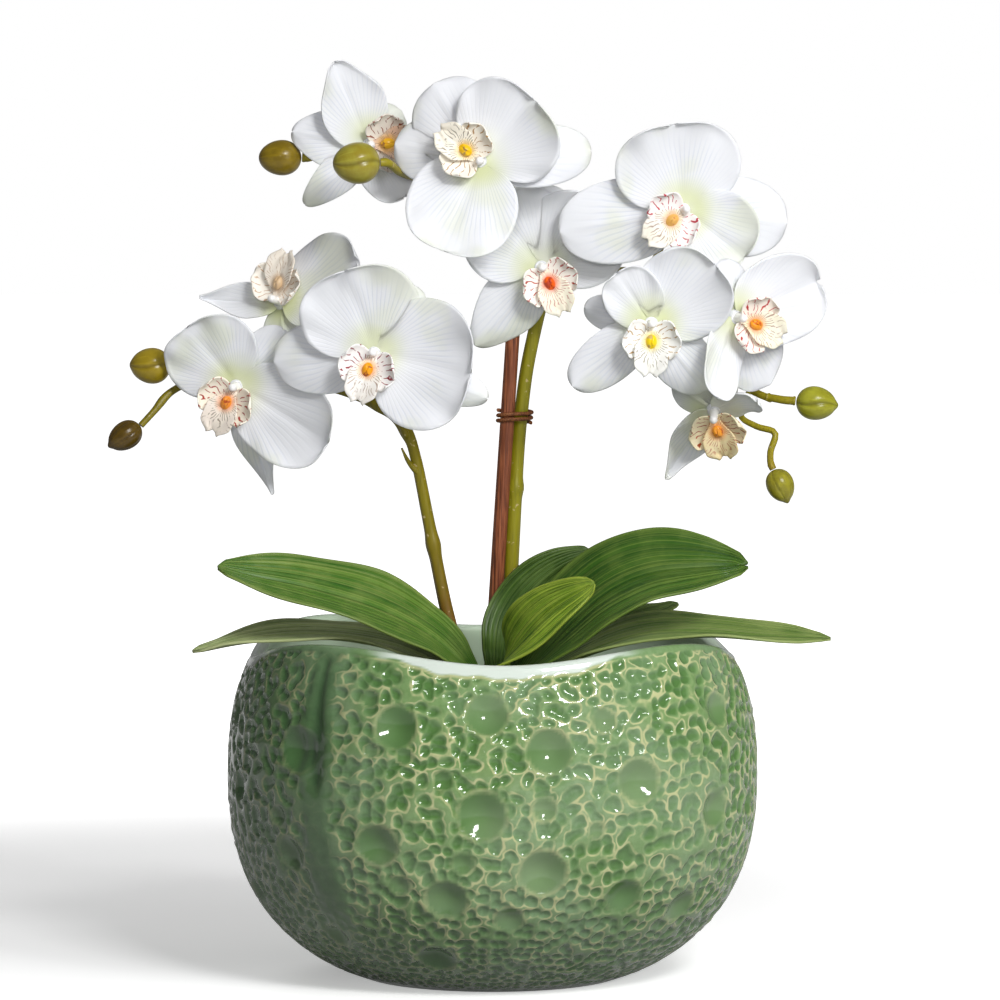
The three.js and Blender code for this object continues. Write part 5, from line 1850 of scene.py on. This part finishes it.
class SCENE_OT_planter_stage(bpy.types.Operator):
    """Sets the white floor, the lamps and the camera"""

    bl_idname = "scene.planter_stage"
    bl_label = "Stage"

    def add_lamp(self, name, power, size, place, target, reflected=True):
        bpy.ops.object.light_add(type="AREA", location=place)
        lamp = bpy.context.object
        lamp.name = name
        lamp.data.shape = "RECTANGLE"
        lamp.data.size, lamp.data.size_y = size
        lamp.data.energy = power
        lamp.visible_glossy = reflected
        aim(lamp, place, target)

    def add_spot(self, name, power, degrees, place, target):
        bpy.ops.object.light_add(type="SPOT", location=place)
        spot = bpy.context.object
        spot.name = name
        spot.data.energy = power
        spot.data.spot_size = math.radians(degrees)
        spot.data.spot_blend = 0.6
        spot.data.shadow_soft_size = 0.25
        spot.visible_glossy = False
        aim(spot, place, target)

    def add_floor(self, lift):
        """White paper. It glows a little where it is seen, fully so away from the object,
        so that only the object's shadow stays grey."""
        bpy.ops.mesh.primitive_plane_add(size=16, location=(*paper_middle, 0))
        floor = bpy.context.object
        floor.name = "studio_floor"
        material, shader = new_material("Studio paper")
        shader.inputs["Roughness"].default_value = 0.9
        place = add_node(material, "ShaderNodeTexCoord").outputs["Object"]
        middle = (shadow_middle[0] - paper_middle[0], shadow_middle[1] - paper_middle[1], 0)
        away = add_node(material, "ShaderNodeVectorMath", operation="DISTANCE", in_1=middle)
        link(material, place, away.inputs[0])
        glow = add_range(material, away.outputs["Value"], *shadow_reach, lift, 1.0)
        paths = add_node(material, "ShaderNodeLightPath")
        mirrored = add_math(material, "MULTIPLY", paths.outputs["Is Glossy Ray"], paper_mirrored)
        seen = add_math(material, "MAXIMUM", paths.outputs["Is Camera Ray"], mirrored)
        seen = add_math(material, "MAXIMUM", seen, paths.outputs["Is Transmission Ray"])
        shade = add_mix(material, seen, (paper_unseen,) * 3, (paper_seen,) * 3)
        link(material, shade, shader.inputs["Base Color"])
        link(material, add_math(material, "MULTIPLY", glow, seen), shader.inputs["Emission Strength"])
        shader.inputs["Emission Color"].default_value = (1, 1, 1, 1)
        set_material(floor, material)

    def add_world(self, context, strength):
        world = bpy.data.worlds.new("Studio")
        context.scene.world = world
        world.use_nodes = True
        nodes = world.node_tree.nodes
        links = world.node_tree.links
        room = nodes["Background"]
        room.inputs["Color"].default_value = (1, 1, 1, 1)
        room.inputs["Strength"].default_value = strength
        white = nodes.new("ShaderNodeBackground")
        white.inputs["Color"].default_value = (1, 1, 1, 1)
        paths = nodes.new("ShaderNodeLightPath")
        seen = nodes.new("ShaderNodeMath")
        seen.operation = "MAXIMUM"
        links.new(paths.outputs["Is Camera Ray"], seen.inputs[0])
        links.new(paths.outputs["Is Transmission Ray"], seen.inputs[1])
        mix = nodes.new("ShaderNodeMixShader")
        links.new(seen.outputs[0], mix.inputs[0])
        links.new(room.outputs[0], mix.inputs[1])
        links.new(white.outputs[0], mix.inputs[2])
        links.new(mix.outputs[0], nodes["World Output"].inputs["Surface"])

    def execute(self, context):
        stage = context.scene.planter_stage
        deselect_all()
        self.add_floor(stage.floor_lift)
        self.add_lamp("key_window", stage.key_power, (0.9, 0.9), (0.8, -1.15, 1.05), (0, 0, 0.16),
                      reflected=False)
        self.add_spot("bloom_spot", stage.bloom_power, 10.5, (-0.05, -2.15, 0.5), (0, 0, 0.285))
        self.add_spot("bowl_spot", stage.bowl_power, 14.0, (1.25, -1.4, 0.8), (0, 0, 0.0))
        self.add_lamp("back_window", stage.back_power, (1.2, 1.2), (-0.5, 1.7, 1.2), (0, 0, 0.2),
                      reflected=False)
        self.add_lamp("glint_window", stage.glint_power, (0.34, 0.28), (0.5, -1.25, 0.92), (0, 0, 0.12))
        self.add_world(context, stage.room_light)
        bpy.ops.object.camera_add(location=camera_place)
        camera = context.object
        camera.name = "photo_camera"
        camera.rotation_euler = (math.pi / 2 - math.atan(camera_fall), 0, 0)
        camera.data.sensor_width = sensor_width
        camera.data.lens = focal_widths * sensor_width
        camera.data.clip_end = 20
        context.scene.camera = camera
        context.scene.view_settings.view_transform = "Standard"
        return {"FINISHED"}


# Panel


class VIEW3D_PT_planter(bpy.types.Panel):
    """The planter's pieces and settings in the 3D view's sidebar"""

    bl_label = "Orchid Planter"
    bl_idname = "VIEW3D_PT_planter"
    bl_space_type = "VIEW_3D"
    bl_region_type = "UI"
    bl_category = "Planter"

    def draw(self, context):
        groups = [
            ("Bowl", "planter_glaze", ["object.planter_bowl"]),
            ("Leaves", "planter_leaves", ["object.planter_fill", "object.planter_leaves"]),
            ("Blooms", "planter_blooms",
             ["object.planter_blooms", "object.planter_buds", "object.planter_stems"]),
            ("Stage", "planter_stage", ["scene.planter_stage"]),
        ]
        for title, settings_name, buttons in groups:
            box = self.layout.box()
            box.label(text=title)
            settings = getattr(context.scene, settings_name)
            for name in settings.bl_rna.properties.keys():
                if name not in ("rna_type", "name"):
                    box.prop(settings, name)
            for button in buttons:
                box.operator(button)


classes = (
    GlazeSettings,
    LeafSettings,
    BloomSettings,
    StageSettings,
    OBJECT_OT_glazed_bowl,
    OBJECT_OT_planter_fill,
    OBJECT_OT_planter_leaves,
    OBJECT_OT_planter_blooms,
    OBJECT_OT_planter_buds,
    OBJECT_OT_planter_stems,
    SCENE_OT_planter_stage,
    VIEW3D_PT_planter,
)


def register():
    for item in classes:
        bpy.utils.register_class(item)
    bpy.types.Scene.planter_glaze = bpy.props.PointerProperty(type=GlazeSettings)
    bpy.types.Scene.planter_leaves = bpy.props.PointerProperty(type=LeafSettings)
    bpy.types.Scene.planter_blooms = bpy.props.PointerProperty(type=BloomSettings)
    bpy.types.Scene.planter_stage = bpy.props.PointerProperty(type=StageSettings)


def unregister():
    del bpy.types.Scene.planter_stage
    del bpy.types.Scene.planter_blooms
    del bpy.types.Scene.planter_leaves
    del bpy.types.Scene.planter_glaze
    for item in reversed(classes):
        bpy.utils.unregister_class(item)


def main():
    register()
    bpy.ops.object.planter_bowl()
    bpy.ops.object.planter_fill()
    bpy.ops.object.planter_leaves()
    bpy.ops.object.planter_blooms()
    bpy.ops.object.planter_buds()
    bpy.ops.object.planter_stems()
    bpy.ops.scene.planter_stage()


if __name__ == "__main__":
    main()
